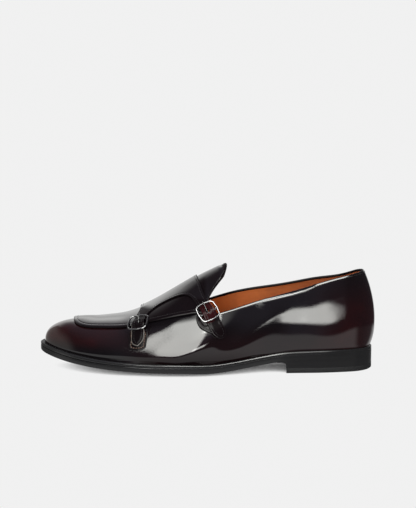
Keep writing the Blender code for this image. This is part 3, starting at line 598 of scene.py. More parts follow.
def floor_with_painted_shadow(tree):
    """Glowing floor as bright as the backdrop, with a painted soft shadow close to the shoe, found
    by occlusion and made deeper under the ball and fainter round the heel.
    """
    openness = tree.node("ShaderNodeAmbientOcclusion", {"samples": 16},
                         {"Distance": FLOOR_REACH}, "AO")
    x = places(tree)[0]
    under_ball = tree.step(x, -85, -45) * tree.step(x, 35, 5)
    under_heel = tree.step(x, 50, 80)
    gain = FLOOR_GAIN + BALL_GAIN * under_ball - HEEL_LOSS * under_heel
    # painted shadow: the floor's glow darkened by occlusion, by place under the shoe
    lit = ((openness * gain).at_most(1.0)) ** 0.7
    colour = tree.mix(lit, DARKEST_PAINTED_SHADOW, (settings("stage").backdrop,) * 3 + (1,))
    glow = tree.node("ShaderNodeEmission", {}, {"Color": colour, "Strength": 1.0})
    tree.node("ShaderNodeOutputMaterial", {}, {"Surface": glow})


FINISHES = {
    "upper": (polished_leather, {"waves": 0.00022, "glow": upper_glow, "shaded": True}),
    "apron": (polished_leather, {"waves": 0.00016, "shaded": True}),
    "saddle": (polished_leather, {"waves": 0.00014, "edge_line": 0.7, "strap": True,
                                  "painted_edge_highlight": True}),
    "tab": (polished_leather, {"waves": 0.00010, "edge_line": 0.5, "strap": True}),
    "lining": (lining_leather, {}),
    "sock": (lining_leather, {}),
    "sole_edge": (dyed_edge, {}),
    "welt": (dyed_edge, {"coat": 0.85}),
    "heel_edge": (dyed_edge, {"lines": 0.00005, "shade": 1.2}),
    "rubber": (fine_rubber, {}),
    "metal": (polished_metal, {}),
    "shaded_metal": (polished_metal, {"share": 0.35}),      # painted shade: darker copy of the metal for the bars and prongs, between leathers
    "dark_thread": (waxed_thread, {"setting": "thread"}),
    "tab_thread": (waxed_thread, {"setting": "tab_thread"}),
    "floor": (floor_with_painted_shadow, {})}


def dressed(name):
    """The material of this name, made when it is first asked for."""
    material = bpy.data.materials.get(name)
    if not material:
        material = bpy.data.materials.new(name)
        material.use_nodes = True
        make, options = FINISHES[name]
        make(Tree(material.node_tree), **options)
    return material


# ---------------------------------------------------------------------------------- curves

def second_derivatives(knots, values, closed):
    """Second derivatives of the cubic spline through the rows of values."""
    count = len(values)
    matrix = np.zeros((count, count))
    right = np.zeros_like(values)
    steps = np.diff(knots)
    for i in range(count):
        if not closed and i in (0, count - 1):
            matrix[i, i] = 1
            continue
        before = steps[i - 1]
        after = steps[i % len(steps)]
        left = (i - 1) % count
        next_one = (i + 1) % count
        matrix[i, left] += before
        matrix[i, i] += 2 * (before + after)
        matrix[i, next_one] += after
        right[i] = 6 * ((values[next_one] - values[i]) / after
                        - (values[i] - values[left]) / before)
    return np.linalg.solve(matrix, right)


def spline(knots, values, closed=False):
    """Cubic spline through values at rising knots. A closed one has one more knot than values."""
    knots = np.asarray(knots, float)
    values = np.asarray(values, float)
    flat = values.ndim == 1
    values = values.reshape(len(values), -1)
    bends = second_derivatives(knots, values, closed)
    period = knots[-1] - knots[0]

    def at(x):
        x = np.asarray(x, float)
        x = knots[0] + (x - knots[0]) % period if closed else np.clip(x, knots[0], knots[-1])
        i = np.clip(np.searchsorted(knots, x, side="right") - 1, 0, len(knots) - 2)
        j = (i + 1) % len(values)
        step = (knots[i + 1] - knots[i])[..., None]
        a = (knots[i + 1] - x)[..., None] / step
        b = 1 - a
        curve = ((a ** 3 - a) * bends[i] + (b ** 3 - b) * bends[j]) * step ** 2 / 6
        result = a * values[i] + b * values[j] + curve
        return result[..., 0] if flat else result

    return at


def unit(vectors):
    """The vectors, each scaled to a length of 1."""
    return vectors / np.linalg.norm(vectors, axis=-1, keepdims=True)


def smooth_step(x, start, end):
    """0 before start, 1 after end, smooth between."""
    share = np.clip((x - start) / (end - start), 0, 1)
    return share * share * (3 - 2 * share)


# ---------------------------------------------------------------------------------- the last

def column(table, index, factor=1.0):
    """Spline along the shoe through one column of a table whose first column is x."""
    return spline([row[0] * ALONG for row in table], [row[index] * factor for row in table])


tread_height = column(TREAD, 1, LIFT)
edge_rise = column(TREAD, 2, LIFT)
ridge_height = column(RIDGE, 1, UPWARD)
ridge_side = column(RIDGE, 2, ACROSS)
topline_outer = column(TOPLINE, 1, UPWARD)
topline_inner = column(TOPLINE, 2, UPWARD)


def sole_bottom(x, y):
    """Height of the outsole's underside."""
    share = (np.abs(y) / ACROSS - CROWN_START) / (CROWN_REACH - CROWN_START)
    return np.maximum(tread_height(x), 0) + edge_rise(x) * np.maximum(share, 0) ** 2


def ridge_slope(x):
    return ridge_height(x + 0.5) - ridge_height(x - 0.5)


def rib_row(rib, inner):
    """A rib's four handles, from foot to ridge, then its ledge, apron and ridge place."""
    foot_x = rib.foot_x * ALONG
    crest_x = rib.crest_x * ALONG
    foot_y = (rib.inner_y if inner else rib.outer_y) * ACROSS
    bulge = (rib.inner_bulge if inner else rib.outer_bulge) * ACROSS
    span = (rib.inner_span if inner else rib.outer_span) * ACROSS
    foot = np.array([foot_x, foot_y, sole_bottom(foot_x, foot_y) + SOLE_PACK])
    crest = np.array([crest_x, ridge_side(crest_x), ridge_height(crest_x)])
    outward = unit(foot[:2] - crest[:2])
    low = foot + [*(outward * bulge), rib.rise * UPWARD]
    high = crest + np.array([*outward, outward[0] * ridge_slope(crest_x)]) * span
    return np.concatenate([foot, low, high, crest, [rib.ledge, rib.apron]])


RIB_ROWS = [rib_row(rib, False) for rib in RIBS] + [rib_row(rib, True) for rib in RIBS[-2:0:-1]]
ribs_at = spline(range(RIB_COUNT + 1), RIB_ROWS, closed=True)
LEDGE_COLUMN, APRON_COLUMN = 12, 13


def last_point(u, t):
    """Point of the last at rib u and share t, as a cubic Bezier curve up each rib."""
    u, t = np.broadcast_arrays(np.asarray(u, float), np.asarray(t, float))
    handles = ribs_at(u)[..., :12].reshape(u.shape + (4, 3))
    s = 1 - t
    weights = np.stack([s ** 3, 3 * s * s * t, 3 * s * t * t, t ** 3], -1)
    return (weights[..., None] * handles).sum(-2)


def last_normal(u, t):
    """Outward normal of the last. Close to the ridge it turns into the ridge's own normal."""
    u, t = np.broadcast_arrays(np.asarray(u, float), np.asarray(t, float))
    step = 1e-3
    near_ridge = 0.97
    below = np.clip(t, step, near_ridge)
    along = last_point(u + step, below) - last_point(u - step, below)
    upward = last_point(u, below + step) - last_point(u, below - step)
    slope = ridge_slope(last_point(u, 1.0)[..., 0])
    top = unit(np.stack([-slope, 0 * slope, 1 + 0 * slope], -1))
    share = np.clip((t - near_ridge) / (1 - near_ridge), 0, 1)[..., None]
    return unit(unit(np.cross(along, upward)) * (1 - share) + top * share)


def ridge_lengths(u):
    """Shares from the ridge to the foot, and how far down each rib of u they lie, row by row."""
    shares = np.linspace(1, 0, RIB_PLACES)
    points = last_point(u[..., None], shares)
    lengths = np.linalg.norm(np.diff(points, axis=-2), axis=-1).cumsum(-1)
    lengths = np.concatenate([np.zeros(u.shape + (1,)), lengths], -1)
    return shares, lengths.reshape(-1, len(shares))


def share_at(u, down):
    """Share t of the point that lies a distance down rib u from the ridge."""
    u, down = np.broadcast_arrays(np.asarray(u, float), np.asarray(down, float))
    shares, lengths = ridge_lengths(u)
    found = [np.interp(d, row, shares) for d, row in zip(down.ravel(), lengths)]
    return np.array(found).reshape(u.shape)


def down_at(u, share):
    """Distance along each rib of u from the ridge down to a share."""
    shares, lengths = ridge_lengths(u)
    return np.array([np.interp(-s, -shares, row) for s, row in zip(share, lengths)])


def share_at_height(u, height):
    """Share t at which rib u reaches a height."""
    low = np.zeros_like(u)
    high = np.ones_like(u)
    for _ in range(HALVINGS):
        middle = (low + high) / 2
        below = last_point(u, middle)[..., 2] < height
        low = np.where(below, middle, low)
        high = np.where(below, high, middle)
    return (low + high) / 2


def sole_edge(u, inset=0.0):
    """Plan point of the sole's edge beside rib u, or as far inside it as inset says."""
    step = 1e-3
    along = (last_point(u + step, 0.0) - last_point(u - step, 0.0))[..., :2]
    outward = unit(np.stack([along[..., 1], -along[..., 0]], -1))
    reach = ribs_at(u)[..., LEDGE_COLUMN] - inset
    return last_point(u, 0.0)[..., :2] + outward * reach[..., None]


def side_rib(u, inner):
    """The rib on the inner side that mirrors rib u, or u itself on the outer side."""
    return RIB_COUNT - u if inner else u


CREST_RIBS = np.linspace(0, HEEL_RIB, RIDGE_PLACES)
CREST_X = last_point(CREST_RIBS, 1.0)[:, 0]


def lifted(x, down, height):
    """Point over the last: x on the ridge, a distance down the outer side (or, where it is
    negative, the inner side), and a height above the leather there."""
    u = np.interp(x, CREST_X, CREST_RIBS)
    u = np.where(np.asarray(down) < 0, RIB_COUNT - u, u)
    return over_leather(u, np.abs(down), height)


def over_leather(u, down, height):
    """Point at a height over the leather, a distance down rib u from the ridge."""
    t = share_at(u, down)
    return raised(last_point(u, t), last_normal(u, t), leather_rise(u, t) + height)


def raised(points, normals, height):
    """The points moved along their normals."""
    return points + normals * height[..., None]


# ---------------------------------------------------------------------------------- loops

def inside(points, loop):
    """Which plan points lie inside a closed loop."""
    x = points[:, :1]
    y = points[:, 1:]
    x0, y0 = loop.T
    x1, y1 = np.roll(loop, -1, 0).T
    crosses = (y0 > y) != (y1 > y)
    with np.errstate(divide="ignore", invalid="ignore"):
        at = x0 + (y - y0) * (x1 - x0) / (y1 - y0)
    return (crosses & (x < at)).sum(1) % 2 == 1


def distance_to(points, loop):
    """Distance of plan points from the nearest side of a closed loop."""
    side = np.roll(loop, -1, 0) - loop
    offset = points[:, None] - loop
    share = np.clip((offset * side).sum(-1) / (side * side).sum(-1), 0, 1)
    return np.linalg.norm(offset - side * share[..., None], axis=-1).min(1)


def smooth_line(points, spacing, closed=False):
    """Points about a spacing apart on the smooth curve through a few points."""
    points = np.array(points, float)
    path = np.concatenate([points, points[:1]]) if closed else points
    knots = np.concatenate([[0], np.linalg.norm(np.diff(path, axis=0), axis=1).cumsum()])
    curve = spline(knots, points, closed)
    count = max(2, round(knots[-1] / spacing))
    return curve(np.linspace(0, knots[-1], count + 1))[:-1]


# ---------------------------------------------------------------------------------- meshes

def to_metres(points):
    """Points in the tables' millimetres, moved to the origin and scaled to metres."""
    return (np.asarray(points, float) - np.array(PLAN_MIDDLE)) * MM


def add_object(name, data):
    made = bpy.data.objects.new(name, data)
    bpy.context.scene.collection.objects.link(made)
    return made


def make_piece(name, skin, finish, nodes, fields=None):
    """Piece from a skin's points in millimetres and faces, with doubles merged and faces outward.
    The fields are values at its points that its finish reads."""
    points, faces = skin
    mesh = bpy.data.meshes.new(name)
    mesh.from_pydata([tuple(p) for p in to_metres(points)], [], faces)
    for field, values in (fields or {}).items():
        layer = mesh.attributes.new(field, "FLOAT", "POINT")
        layer.data.foreach_set("value", np.asarray(values, np.float32).ravel())
    shape = bmesh.new()
    shape.from_mesh(mesh)
    bmesh.ops.remove_doubles(shape, verts=shape.verts, dist=DOUBLES)
    bmesh.ops.dissolve_degenerate(shape, dist=DOUBLES / 2, edges=shape.edges)
    bmesh.ops.recalc_face_normals(shape, faces=shape.faces)
    shape.to_mesh(mesh)
    shape.free()
    mesh.shade_smooth()
    mesh.set_sharp_from_angle(angle=SHARP_ANGLE)
    mesh.materials.append(dressed(finish))
    return declare(name, mesh, nodes)


def declare(name, mesh, nodes):
    """Object that rides on the shoe and stands for CAD nodes, which it hides."""
    piece = add_object(name, mesh)
    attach(piece, "root")
    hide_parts(*nodes)
    return piece


# ---------------------------------------------------------------------------------- sections

def folded(over, under):
    """Closed sections out along the rows of one face and back along those of the other."""
    return np.concatenate([over, under[:, ::-1]], 1)


def loft(sections, cap_start=False, cap_end=False, around=False):
    """Points and faces of a skin over closed sections that all have the same number of points."""
    count = len(sections[0])
    points = np.concatenate(sections)
    spans = len(sections) if around else len(sections) - 1
    faces = []
    for i in range(spans):
        here = i * count
        there = (i + 1) % len(sections) * count
        for j in range(count):
            k = (j + 1) % count
            faces.append((here + j, here + k, there + k, there + j))
    if cap_start:
        faces.append(tuple(range(count)))
    if cap_end:
        faces.append(tuple(range(len(points) - count, len(points))))
    return points, faces


def plate_lines(inset):
    """Plan lines across the sole from its outer to its inner edge, each through the middle."""
    ribs = np.linspace(0, HEEL_RIB, HEEL_RIB * PLATE_RIB_STEPS + 1)[:, None]
    across = np.linspace(-1, 1, 2 * PLATE_STEPS + 1)
    sides = np.where(across > 0, RIB_COUNT - ribs, ribs)
    edge = sole_edge(sides, inset)
    spine_x = last_point(sides, 1.0)[..., 0]
    spine = np.stack([spine_x, ridge_side(spine_x)], -1)
    return spine + (edge - spine) * np.abs(across)[:, None]


def over_tread(lines, height):
    """The plan lines lifted to a height over the outsole's underside."""
    level = sole_bottom(lines[..., 0], lines[..., 1]) + height
    return np.concatenate([lines, level[..., None]], -1)


def heel_outline(breast_x, inset=0.0):
    """Plan of the heel: the sole's edge behind breast_x, closed by a hollow breast."""
    ribs = np.linspace(0, RIB_COUNT, RIM_PLACES)
    edge = sole_edge(ribs, inset)
    behind = ribs[edge[:, 0] > breast_x + inset]
    rim = sole_edge(np.linspace(behind[0], behind[-1], HEEL_STEPS + 1), inset)
    shares = np.linspace(0, 1, 7)[1:-1]
    breast = rim[-1] + (rim[0] - rim[-1]) * shares[:, None]
    breast[:, 0] += BREAST_HOLLOW * (1 - (2 * shares - 1) ** 2)
    return np.concatenate([rim, breast])


def flat_section(outline, height):
    return np.column_stack([outline, np.full(len(outline), height)])


# ---------------------------------------------------------------------------------- sole

def plate_sections(profile):
    """Sections of a plate over the sole's outline. The profile's rows are (inset, height over the
    tread), from the top face round the edge to the bottom face."""
    rims = [over_tread(plate_lines(inset), height) for inset, height in profile]
    right = [rim[:, -1:] for rim in rims[1:-1]]
    left = [rim[:, :1] for rim in rims[-2:0:-1]]
    return np.concatenate([rims[0], *right, rims[-1][:, ::-1], *left], 1)


def arc_profile(inset, height, radius, start, end, steps=5):
    """Rows of a round edge: inset and height of its middle, its radius and its turn in degrees."""
    turns = np.radians(np.linspace(start, end, steps))
    return [(inset - radius * np.cos(turn), height + radius * np.sin(turn)) for turn in turns]


def make_outsole():
    """Outsole. Its joint with the welt shows as a groove at the toe, and closes further back."""
    foot_x = plate_lines(0.0)[:, :1, 0]
    shut = smooth_step(foot_x, *GROOVE_ENDS)
    on_heel = smooth_step(foot_x, BREAST_X - 8, BREAST_X)
    top = OUTSOLE + (GAP - HAIR) * shut
    edge = TOP_ROUND + (SHARP - TOP_ROUND) * shut
    foot = FOOT_ROUND + (SHARP - FOOT_ROUND) * on_heel
    round_top = arc_profile(edge, top - edge, edge, 90, 0)
    round_foot = arc_profile(foot, foot, foot, 0, -90, 7)
    profile = [(3.0, top), *round_top, (0.0, top - edge - 0.3), (-0.06, OUTSOLE * 0.5),
               (0.0, foot + 0.35), *round_foot, (3.0, 0.0)]
    sections = plate_sections(profile)
    make_piece("tread_sole", loft(sections), "sole_edge", ["outsole"])


def make_welt():
    """Welt layer. The bevel along its top is what shines all round the shoe."""
    low = OUTSOLE + GAP
    high = low + MIDSOLE
    rim = settings("sole").rim / MM
    groove = 0.5 * (1 - smooth_step(plate_lines(0.0)[:, :1, 0], *GROOVE_ENDS)) + 0.03
    profile = [(3.6, high), (0.5 + rim, high), (0.3 + rim, high - 0.01), (0.2 + rim, high - 0.05),
               (0.1, high - rim + 0.02), (0.02, high - rim - 0.1), (0.0, high - rim - 0.25),
               (0.0, low + groove + 0.25), (0.0, low + groove), (0.25 * groove, low + groove / 2),
               (groove, low + 0.1 * groove), (3.6, low)]
    sections = plate_sections(profile)
    make_piece("welt", loft(sections), "welt", ["midsole"])


def make_insole():
    """Insole with its sock, a little hollow, and turned up where it meets the wall."""
    ribs = np.linspace(0, HEEL_RIB, HEEL_RIB * PLATE_RIB_STEPS + 1)
    ledge = ribs_at(ribs)[:, LEDGE_COLUMN][:, None]
    lines = plate_lines(ledge + WALL + 2 * GAP)
    rim = plate_lines(ledge + WALL + 2 * GAP + 0.5)
    across = np.abs(np.linspace(-1, 1, 2 * PLATE_STEPS + 1))
    top = over_tread(rim, SOLE_PACK + INSOLE - SOCK_HOLLOW * (1 - across ** 3))
    edge = over_tread(lines, SOLE_PACK + INSOLE - 0.5)
    low = over_tread(lines, SOLE_PACK)
    sections = np.concatenate([top, edge[:, -1:], low[:, ::-1], edge[:, :1]], 1)
    make_piece("sock", loft(sections), "sock", ["insole"])


def heel_profile():
    """Rows (share of the stack's height, inset) of the stack's side, with a groove at each lift."""
    lifts = settings("sole").lifts
    rows = [(0.0, 0.04)]
    for lift in range(1, lifts):
        share = lift / lifts
        rows += [(share - LIFT_GROOVE, 0.0), (share, 0.14), (share + LIFT_GROOVE, 0.0)]
    return rows + [(0.68, 0.0), (0.8, 0.0), (0.9, 0.0), (1.0, 0.0)]


def make_heel_stack():
    """Stack of the heel, whose breast flares forward under the outsole."""
    under_rows, forward_rows = np.array(BREAST_LIP[::-1]).T
    foot = TOP_LIFT + HAIR
    sections = []
    for share, inset in heel_profile() + [(1.0, 0.6)]:
        depth = sole_bottom(BREAST_X, 0) - GAP - foot
        forward = np.interp((1 - share) * depth, under_rows, forward_rows)
        outline = heel_outline(BREAST_X - forward, inset)
        top = sole_bottom(outline[:, 0], outline[:, 1]) - HAIR
        sections.append(np.column_stack([outline, foot + (top - foot) * share]))
    make_piece("heel_lifts", loft(sections, True, True), "heel_edge",
               ["heel_stack"])


def make_top_lift():
    rows = arc_profile(0.5, 0.5, 0.5, -90, 0) + [(0.0, TOP_LIFT - 0.05), (0.04, TOP_LIFT)]
    sections = [flat_section(heel_outline(BREAST_X, inset), height) for inset, height in rows]
    make_piece("heel_tip", loft(sections, True, True), "rubber", ["top_lift"])


# ---------------------------------------------------------------------------------- upper

def relief(points, outer_side):
    """How far the leather of the upper rises over the last at points of one side of the foot."""
    total = np.zeros(points.shape[:-1])
    for crease in CREASES:
        if crease.outer is not outer_side:
            continue
        angle = np.radians(crease.angle)
        x = points[..., 0] - crease.x
        z = points[..., 2] - crease.z
        along = (x * np.cos(angle) + z * np.sin(angle)) / (crease.length / 2)
        across = (z * np.cos(angle) - x * np.sin(angle)) / crease.width
        total += crease.rise * np.exp(-across ** 2 - along ** 4)
    return total * settings("leather").relief


def apron_share(u):
    """Share t at which the apron ends on ribs u."""
    knots = np.linspace(0, RIB_COUNT, 15 * RIB_COUNT + 1)
    return np.interp(u, knots, share_at(knots, ribs_at(knots)[..., APRON_COLUMN]))


def leather_rise(u, t):
    """The relief at shares t of ribs u. From the apron's edge it dies out towards the ridge, and
    it fades out over the toe and the heel."""
    edge = apron_share(u)
    points = last_point(u, np.minimum(t, edge))
    outer_side = (u > 0) & (u < HEEL_RIB)
    rise = np.where(outer_side, relief(points, True), relief(points, False))
    near_end = np.minimum(np.abs((u + 1) % HEEL_RIB - 1), np.abs(HEEL_RIB - u % HEEL_RIB))
    rise = rise * smooth_step(near_end, 0.0, 0.8) * smooth_step(t, 0.0, 0.025)
    return rise * (1 - smooth_step(t, edge, 1.0))


def collar_lean(u, x, distance):
    """How far the quarters lean in on ribs u, at a distance under their top edge."""
    places, widths, leans = np.array(COLLAR_ROLL).T
    left = np.clip(1 - distance / np.interp(x, places, widths), 0, 1)
    side = 1 - (1 - INNER_ROLL) * smooth_step(u, HEEL_RIB, HEEL_RIB + 1)
    return side * np.interp(x, places, leans) * smooth_step(x, THROAT_X, 14) * left * left


def top_share(u):
    """Share t at which the upper ends at ribs u: the topline, or under the apron's edge."""
    inner = u > HEEL_RIB
    mirrored = np.where(inner, RIB_COUNT - u, u)
    share = np.full(len(u), 0.5)
    for _ in range(TOPLINE_PASSES):
        x = last_point(u, share)[:, 0]
        share = share_at_height(u, np.where(inner, topline_inner(x), topline_outer(x)))
    under_apron = share_at(u, ribs_at(mirrored)[:, APRON_COLUMN] - UNDERLAP)
    weight = smooth_step(last_point(u, 1.0)[:, 0], THROAT_X - 12, THROAT_X)
    return under_apron + (share - under_apron) * weight


def upper_ribs():
    """Ribs of the upper's sections, and the distance down from the ridge to its top edge."""
    u = np.arange(RIB_COUNT * UPPER_STEPS) / UPPER_STEPS
    return u, down_at(u, top_share(u))


def wall_line(u, top_down, depth, steps, below=0.0):
    """Points on ribs u from the foot up to top_down, at a depth inside the leather's surface.
    below is how far their top lies under that of the outer leather."""
    top = share_at(u, top_down)
    shares = top[:, None] * (1 - (1 - np.linspace(0, 1, steps)) ** 1.5)
    ribs = u[:, None]
    points = last_point(ribs, shares)
    distance = np.linalg.norm(points - points[:, -1:], axis=-1) + below
    rise = leather_rise(ribs, shares) - collar_lean(ribs, points[..., 0], distance) - depth
    return raised(points, last_normal(ribs, shares), rise)


def make_upper():
    """Outer leather, turned over at the top edge so that it shows as a thin roll from inside."""
    u, edge_down = upper_ribs()
    leather = settings("leather").outer_leather / MM
    roll = WALL / 2
    outer = wall_line(u, edge_down + roll, 0.0, UPPER_ROWS)
    outer[:, 0, 2] -= INTO_WELT * smooth_step(outer[:, 0, 0], 80, 60)
    inner = wall_line(u, edge_down + roll + TURN_IN, leather, UPPER_ROWS // 2, TURN_IN)
    top = outer[:, -1]
    upward = unit(top - outer[:, -2])
    normal = last_normal(u, share_at(u, edge_down + roll))
    normal = unit(normal - upward * (upward * normal).sum(-1, keepdims=True))
    middle = top - normal * roll
    arc = [middle + roll * (normal * np.cos(turn) + upward * np.sin(turn))
           for turn in np.linspace(0, np.pi, 10)[1:]]
    hem = [middle - normal * roll - upward * fall for fall in (TURN_IN * 0.5, TURN_IN)]
    hem.append(middle - normal * (leather - roll) - upward * (TURN_IN + 0.1))
    turned = np.stack(arc + hem, 1)
    sections = folded(np.concatenate([outer, turned], 1), inner)
    # Distance from the top edge, and a shortened one from the welt, where the worn-edge mask is
    # painted shade.
    from_edge = np.zeros(sections.shape[:2])
    from_edge[:, :UPPER_ROWS] = np.minimum(
        np.linalg.norm(outer - top[:, None], axis=-1) + 0.2,
        np.linalg.norm(outer - outer[:, :1], axis=-1) * WELT_SHADE_SCALE)
    make_piece("vamp_quarters", loft(sections, around=True), "upper", ["upper"],
               {"edge": from_edge})


def make_lining():
    u, edge_down = upper_ribs()
    leather = settings("leather").outer_leather / MM
    top_down = edge_down + WALL / 2 + TURN_IN - 0.3
    outer = wall_line(u, top_down, leather + 0.06, UPPER_ROWS // 2, TURN_IN - 0.3)
    inner = wall_line(u, top_down, WALL - 0.05, UPPER_ROWS // 2, TURN_IN - 0.3)
    make_piece("lining", loft(folded(outer, inner), around=True), "lining",
               ["upper"])


# ---------------------------------------------------------------------------------- apron

def apron_rows(inset=0.0):
    """Rows of the apron and tongue as (edge rib, edge down, crest rib), from toe to tip."""
    front = np.arange(0, TONGUE_RIB, 1 / APRON_RIB_STEPS)
    rows = np.column_stack([front, ribs_at(front)[:, APRON_COLUMN], front])
    stops = np.linspace(0, len(TONGUE) - 1, TONGUE_STEPS)
    last_gap = stops[-1] - stops[-2]
    near_tip = stops[-1] - last_gap * np.array([0.6, 0.36, 0.2, 0.1, 0.04])
    stops = np.concatenate([stops[:-1], near_tip, stops[-1:]])
    tongue = spline(range(len(TONGUE)), TONGUE)(stops)
    rows = np.concatenate([rows, tongue])
    rows[:, 1] -= inset
    return rows


def whole(outer, inner):
    """Both halves of the rows, joined at the ridge."""
    return np.concatenate([outer, inner[:, -2::-1]], 1)


def row_rib(edge_rib, crest_rib, across):
    """Rib at a share across a row, from its edge to the ridge."""
    return edge_rib + (crest_rib - edge_rib) * (1 - (1 - across) ** 2)


def apron_grid(rows, fine):
    """Points, normals, distances from the edge and from the tip, over both halves of the rows."""
    edge_rib, edge_down, crest_rib = rows.T[..., None]
    start = fine / edge_down
    rest = start[:, -1:] + (1 - start[:, -1:]) * np.linspace(0, 1, APRON_COLUMNS)[1:]
    across = np.concatenate([start, rest], 1)
    rib = row_rib(edge_rib, crest_rib, across)
    down = edge_down * (1 - across)
    halves = []
    for inner in (False, True):
        u = side_rib(rib, inner)
        halves.append((over_leather(u, down, 0.0), last_normal(u, share_at(u, down))))
    points, normals = [whole(outer, inner) for outer, inner in zip(*halves)]
    from_edge = whole(edge_down * across, edge_down * across)
    from_tip = np.linalg.norm(points - points[-1], axis=-1)
    return points, normals, from_edge, from_tip


def round_drop(distance, radius):
    """How far a round edge lies under the face, at a distance from the edge."""
    left = np.clip(1 - distance / radius, 0, 1)
    return radius * (1 - np.sqrt(1 - left * left))


def groove(distance, place, width, depth):
    return depth * np.exp(-((distance - place) / width) ** 2)


def make_apron():
    """Apron with a turned edge, going on into the tongue, whose edge is bound."""
    rows = apron_rows()
    points, normals, from_edge, from_tip = apron_grid(rows, APRON_STOPS)
    along = np.arange(len(rows))[:, None] / (len(rows) - 1)
    first_tongue = (rows[:, 0] >= TONGUE_RIB).argmax() / (len(rows) - 1)
    bound = smooth_step(along, *(first_tongue + BOUND_FROM))
    distance = np.minimum(from_edge, from_tip)
    high = GAP + APRON - round_drop(distance, 1.1)
    high -= groove(distance, APRON_SEAM, 0.5, 0.10) * (1 - bound)
    high += bound * (BINDING_RISE - smooth_step(distance, *BINDING_ENDS) * BINDING_STEP)
    curl = -TIP_ROUNDING * (1 - smooth_step(from_tip, 0, 9)) * bound
    low = GAP + LINING_SHEET * smooth_step(distance, 1.3, 2.0)
    low += round_drop(distance, 0.6 + 0.5 * bound)
    low -= bound * (0.35 - smooth_step(distance, 2.4, 3.2) * 0.35)
    sections = folded(*[raised(points, normals, face + curl) for face in (high, low)])
    edge = distance * (1 - 0.7 * bound) * (0.15 + 0.85 * smooth_step(from_tip, 3, 8))
    make_piece("apron", loft(sections, cap_end=True), "apron",
               ["apron_tongue"], {"edge": folded(edge, edge)})


def make_apron_lining():
    rows = apron_rows(inset=LINING_INSET)[:-5]
    points, normals, _, from_tip = apron_grid(rows, np.array([0.0, 0.3]))
    along = np.arange(len(rows))[:, None] / (len(rows) - 1)
    curl = -TIP_ROUNDING * (1 - smooth_step(from_tip + 1.5, 0, 9)) * smooth_step(along, 0.8, 0.9)
    sections = folded(*[raised(points, normals, face + curl)
                        for face in (GAP + LINING_SHEET - LINING_SINK, GAP - 0.05)])
    make_piece("apron_lining", loft(sections, cap_end=True), "lining",
               ["apron_tongue"])


# ---------------------------------------------------------------------------------- saddle

def buckle_frame(buckle):
    """Middle of a buckle on the leather, and its axes: across, up the strap and outward."""
    lean = np.radians(buckle.lean)
    step = np.array([0, 0, 0.5])
    middle, ahead, above = lifted(buckle.x + step * np.sin(lean), buckle.down - step * np.cos(lean),
                                  np.array([0, 1.0, 0]))
    outward = ahead - middle
    up = above - middle
    up = unit(up - outward * (up @ outward))
    return middle, np.array([np.cross(up, outward), up, outward])


def in_buckle(buckle, points):
    """World points from (across, up, out) points of a buckle."""
    middle, axes = buckle_frame(buckle)
    return middle + np.array(points, float) @ axes


def along_strap(buckle, x, down):
    """Distances across a strap and up it from the buckle's bar."""
    middle, axes = buckle_frame(buckle)
    local = (lifted(x, down, 0 * x) - middle) @ axes.T
    return local[..., 0], local[..., 1]


def saddle_rise(x, down):
    """Height of the saddle's underside: over the apron, down its step, and up over each bar."""
    u = np.interp(x, CREST_X, CREST_RIBS)
    past_edge = np.abs(down) - ribs_at(u)[..., APRON_COLUMN]
    rise = GAP + (APRON + GAP) * (1 - smooth_step(past_edge, *APRON_STEP))
    over_bar = BAR_RISE + BAR_WIRE / 2 + STRAP_CLEARANCE
    for buckle in BUCKLES:
        side, up = along_strap(buckle, x, down)
        near = np.exp(-(side / STRAP_REACH) ** 4) * (down > 0)
        on_tab = 1 - smooth_step(up, *ON_TAB)
        rise = rise + (np.maximum(rise, OVER_TAB) - rise) * on_tab * near
        rise = rise + (over_bar - rise) * np.exp(-(up / STRAP_HUMP) ** 2) * near
    return rise


def over_saddle(x, down, thickness):
    return lifted(x, down, saddle_rise(x, down) + thickness)


def over_upper(x, down, thickness):
    return lifted(x, down, GAP + thickness + 0 * x)


def strap_hole(buckle):
    """Outline of the prong's hole in a strap."""
    place, half_length, half_width = STRAP_HOLE
    turns = np.linspace(0, 2 * np.pi, 12, endpoint=False)
    wanted = np.column_stack([half_width * np.sin(turns), place + half_length * np.cos(turns)])
    moves = np.array([(1.0, 0.0), (0.0, 1.0)])
    gained = along_strap(buckle, buckle.x + moves[:, 0], buckle.down + moves[:, 1])
    return np.array([buckle.x, buckle.down]) + wanted @ np.linalg.inv(np.column_stack(gained))


# ---------------------------------------------------------------------------------- panels

def shifted_loop(loop, distance):
    """Points a distance inside a loop that runs either way round, without those that lie nearer
    to another side of it."""
    along = unit(np.roll(loop, -1, 0) - np.roll(loop, 1, 0))
    moved = loop + np.column_stack([-along[:, 1], along[:, 0]]) * distance
    if not inside(moved[:1], loop)[0] and not inside(moved[7:8], loop)[0]:
        moved = 2 * loop - moved
    kept = (distance_to(moved, loop) > distance * 0.97) & inside(moved, loop)
    return moved[kept]


def panel_grid(outline, holes, spacing):
    """Plan points of a panel: its loops, rings close inside its edge, and a grid over the rest."""
    low = outline.min(0)
    high = outline.max(0)
    grid = np.stack(np.meshgrid(*[np.arange(a, b, spacing) for a, b in zip(low, high)]), -1)
    grid = grid.reshape(-1, 2)
    away = distance_to(grid, outline) > EDGE_STOPS[-1] + spacing * 0.4
    grid = grid[inside(grid, outline) & away]
    rings = [shifted_loop(outline, stop) for stop in EDGE_STOPS[1:]]
    points = np.concatenate(rings + [grid])
    for hole in holes:
        points = points[~inside(points, hole) & (distance_to(points, hole) > HOLE_MARGIN)]
    return np.concatenate([outline, *holes, points])


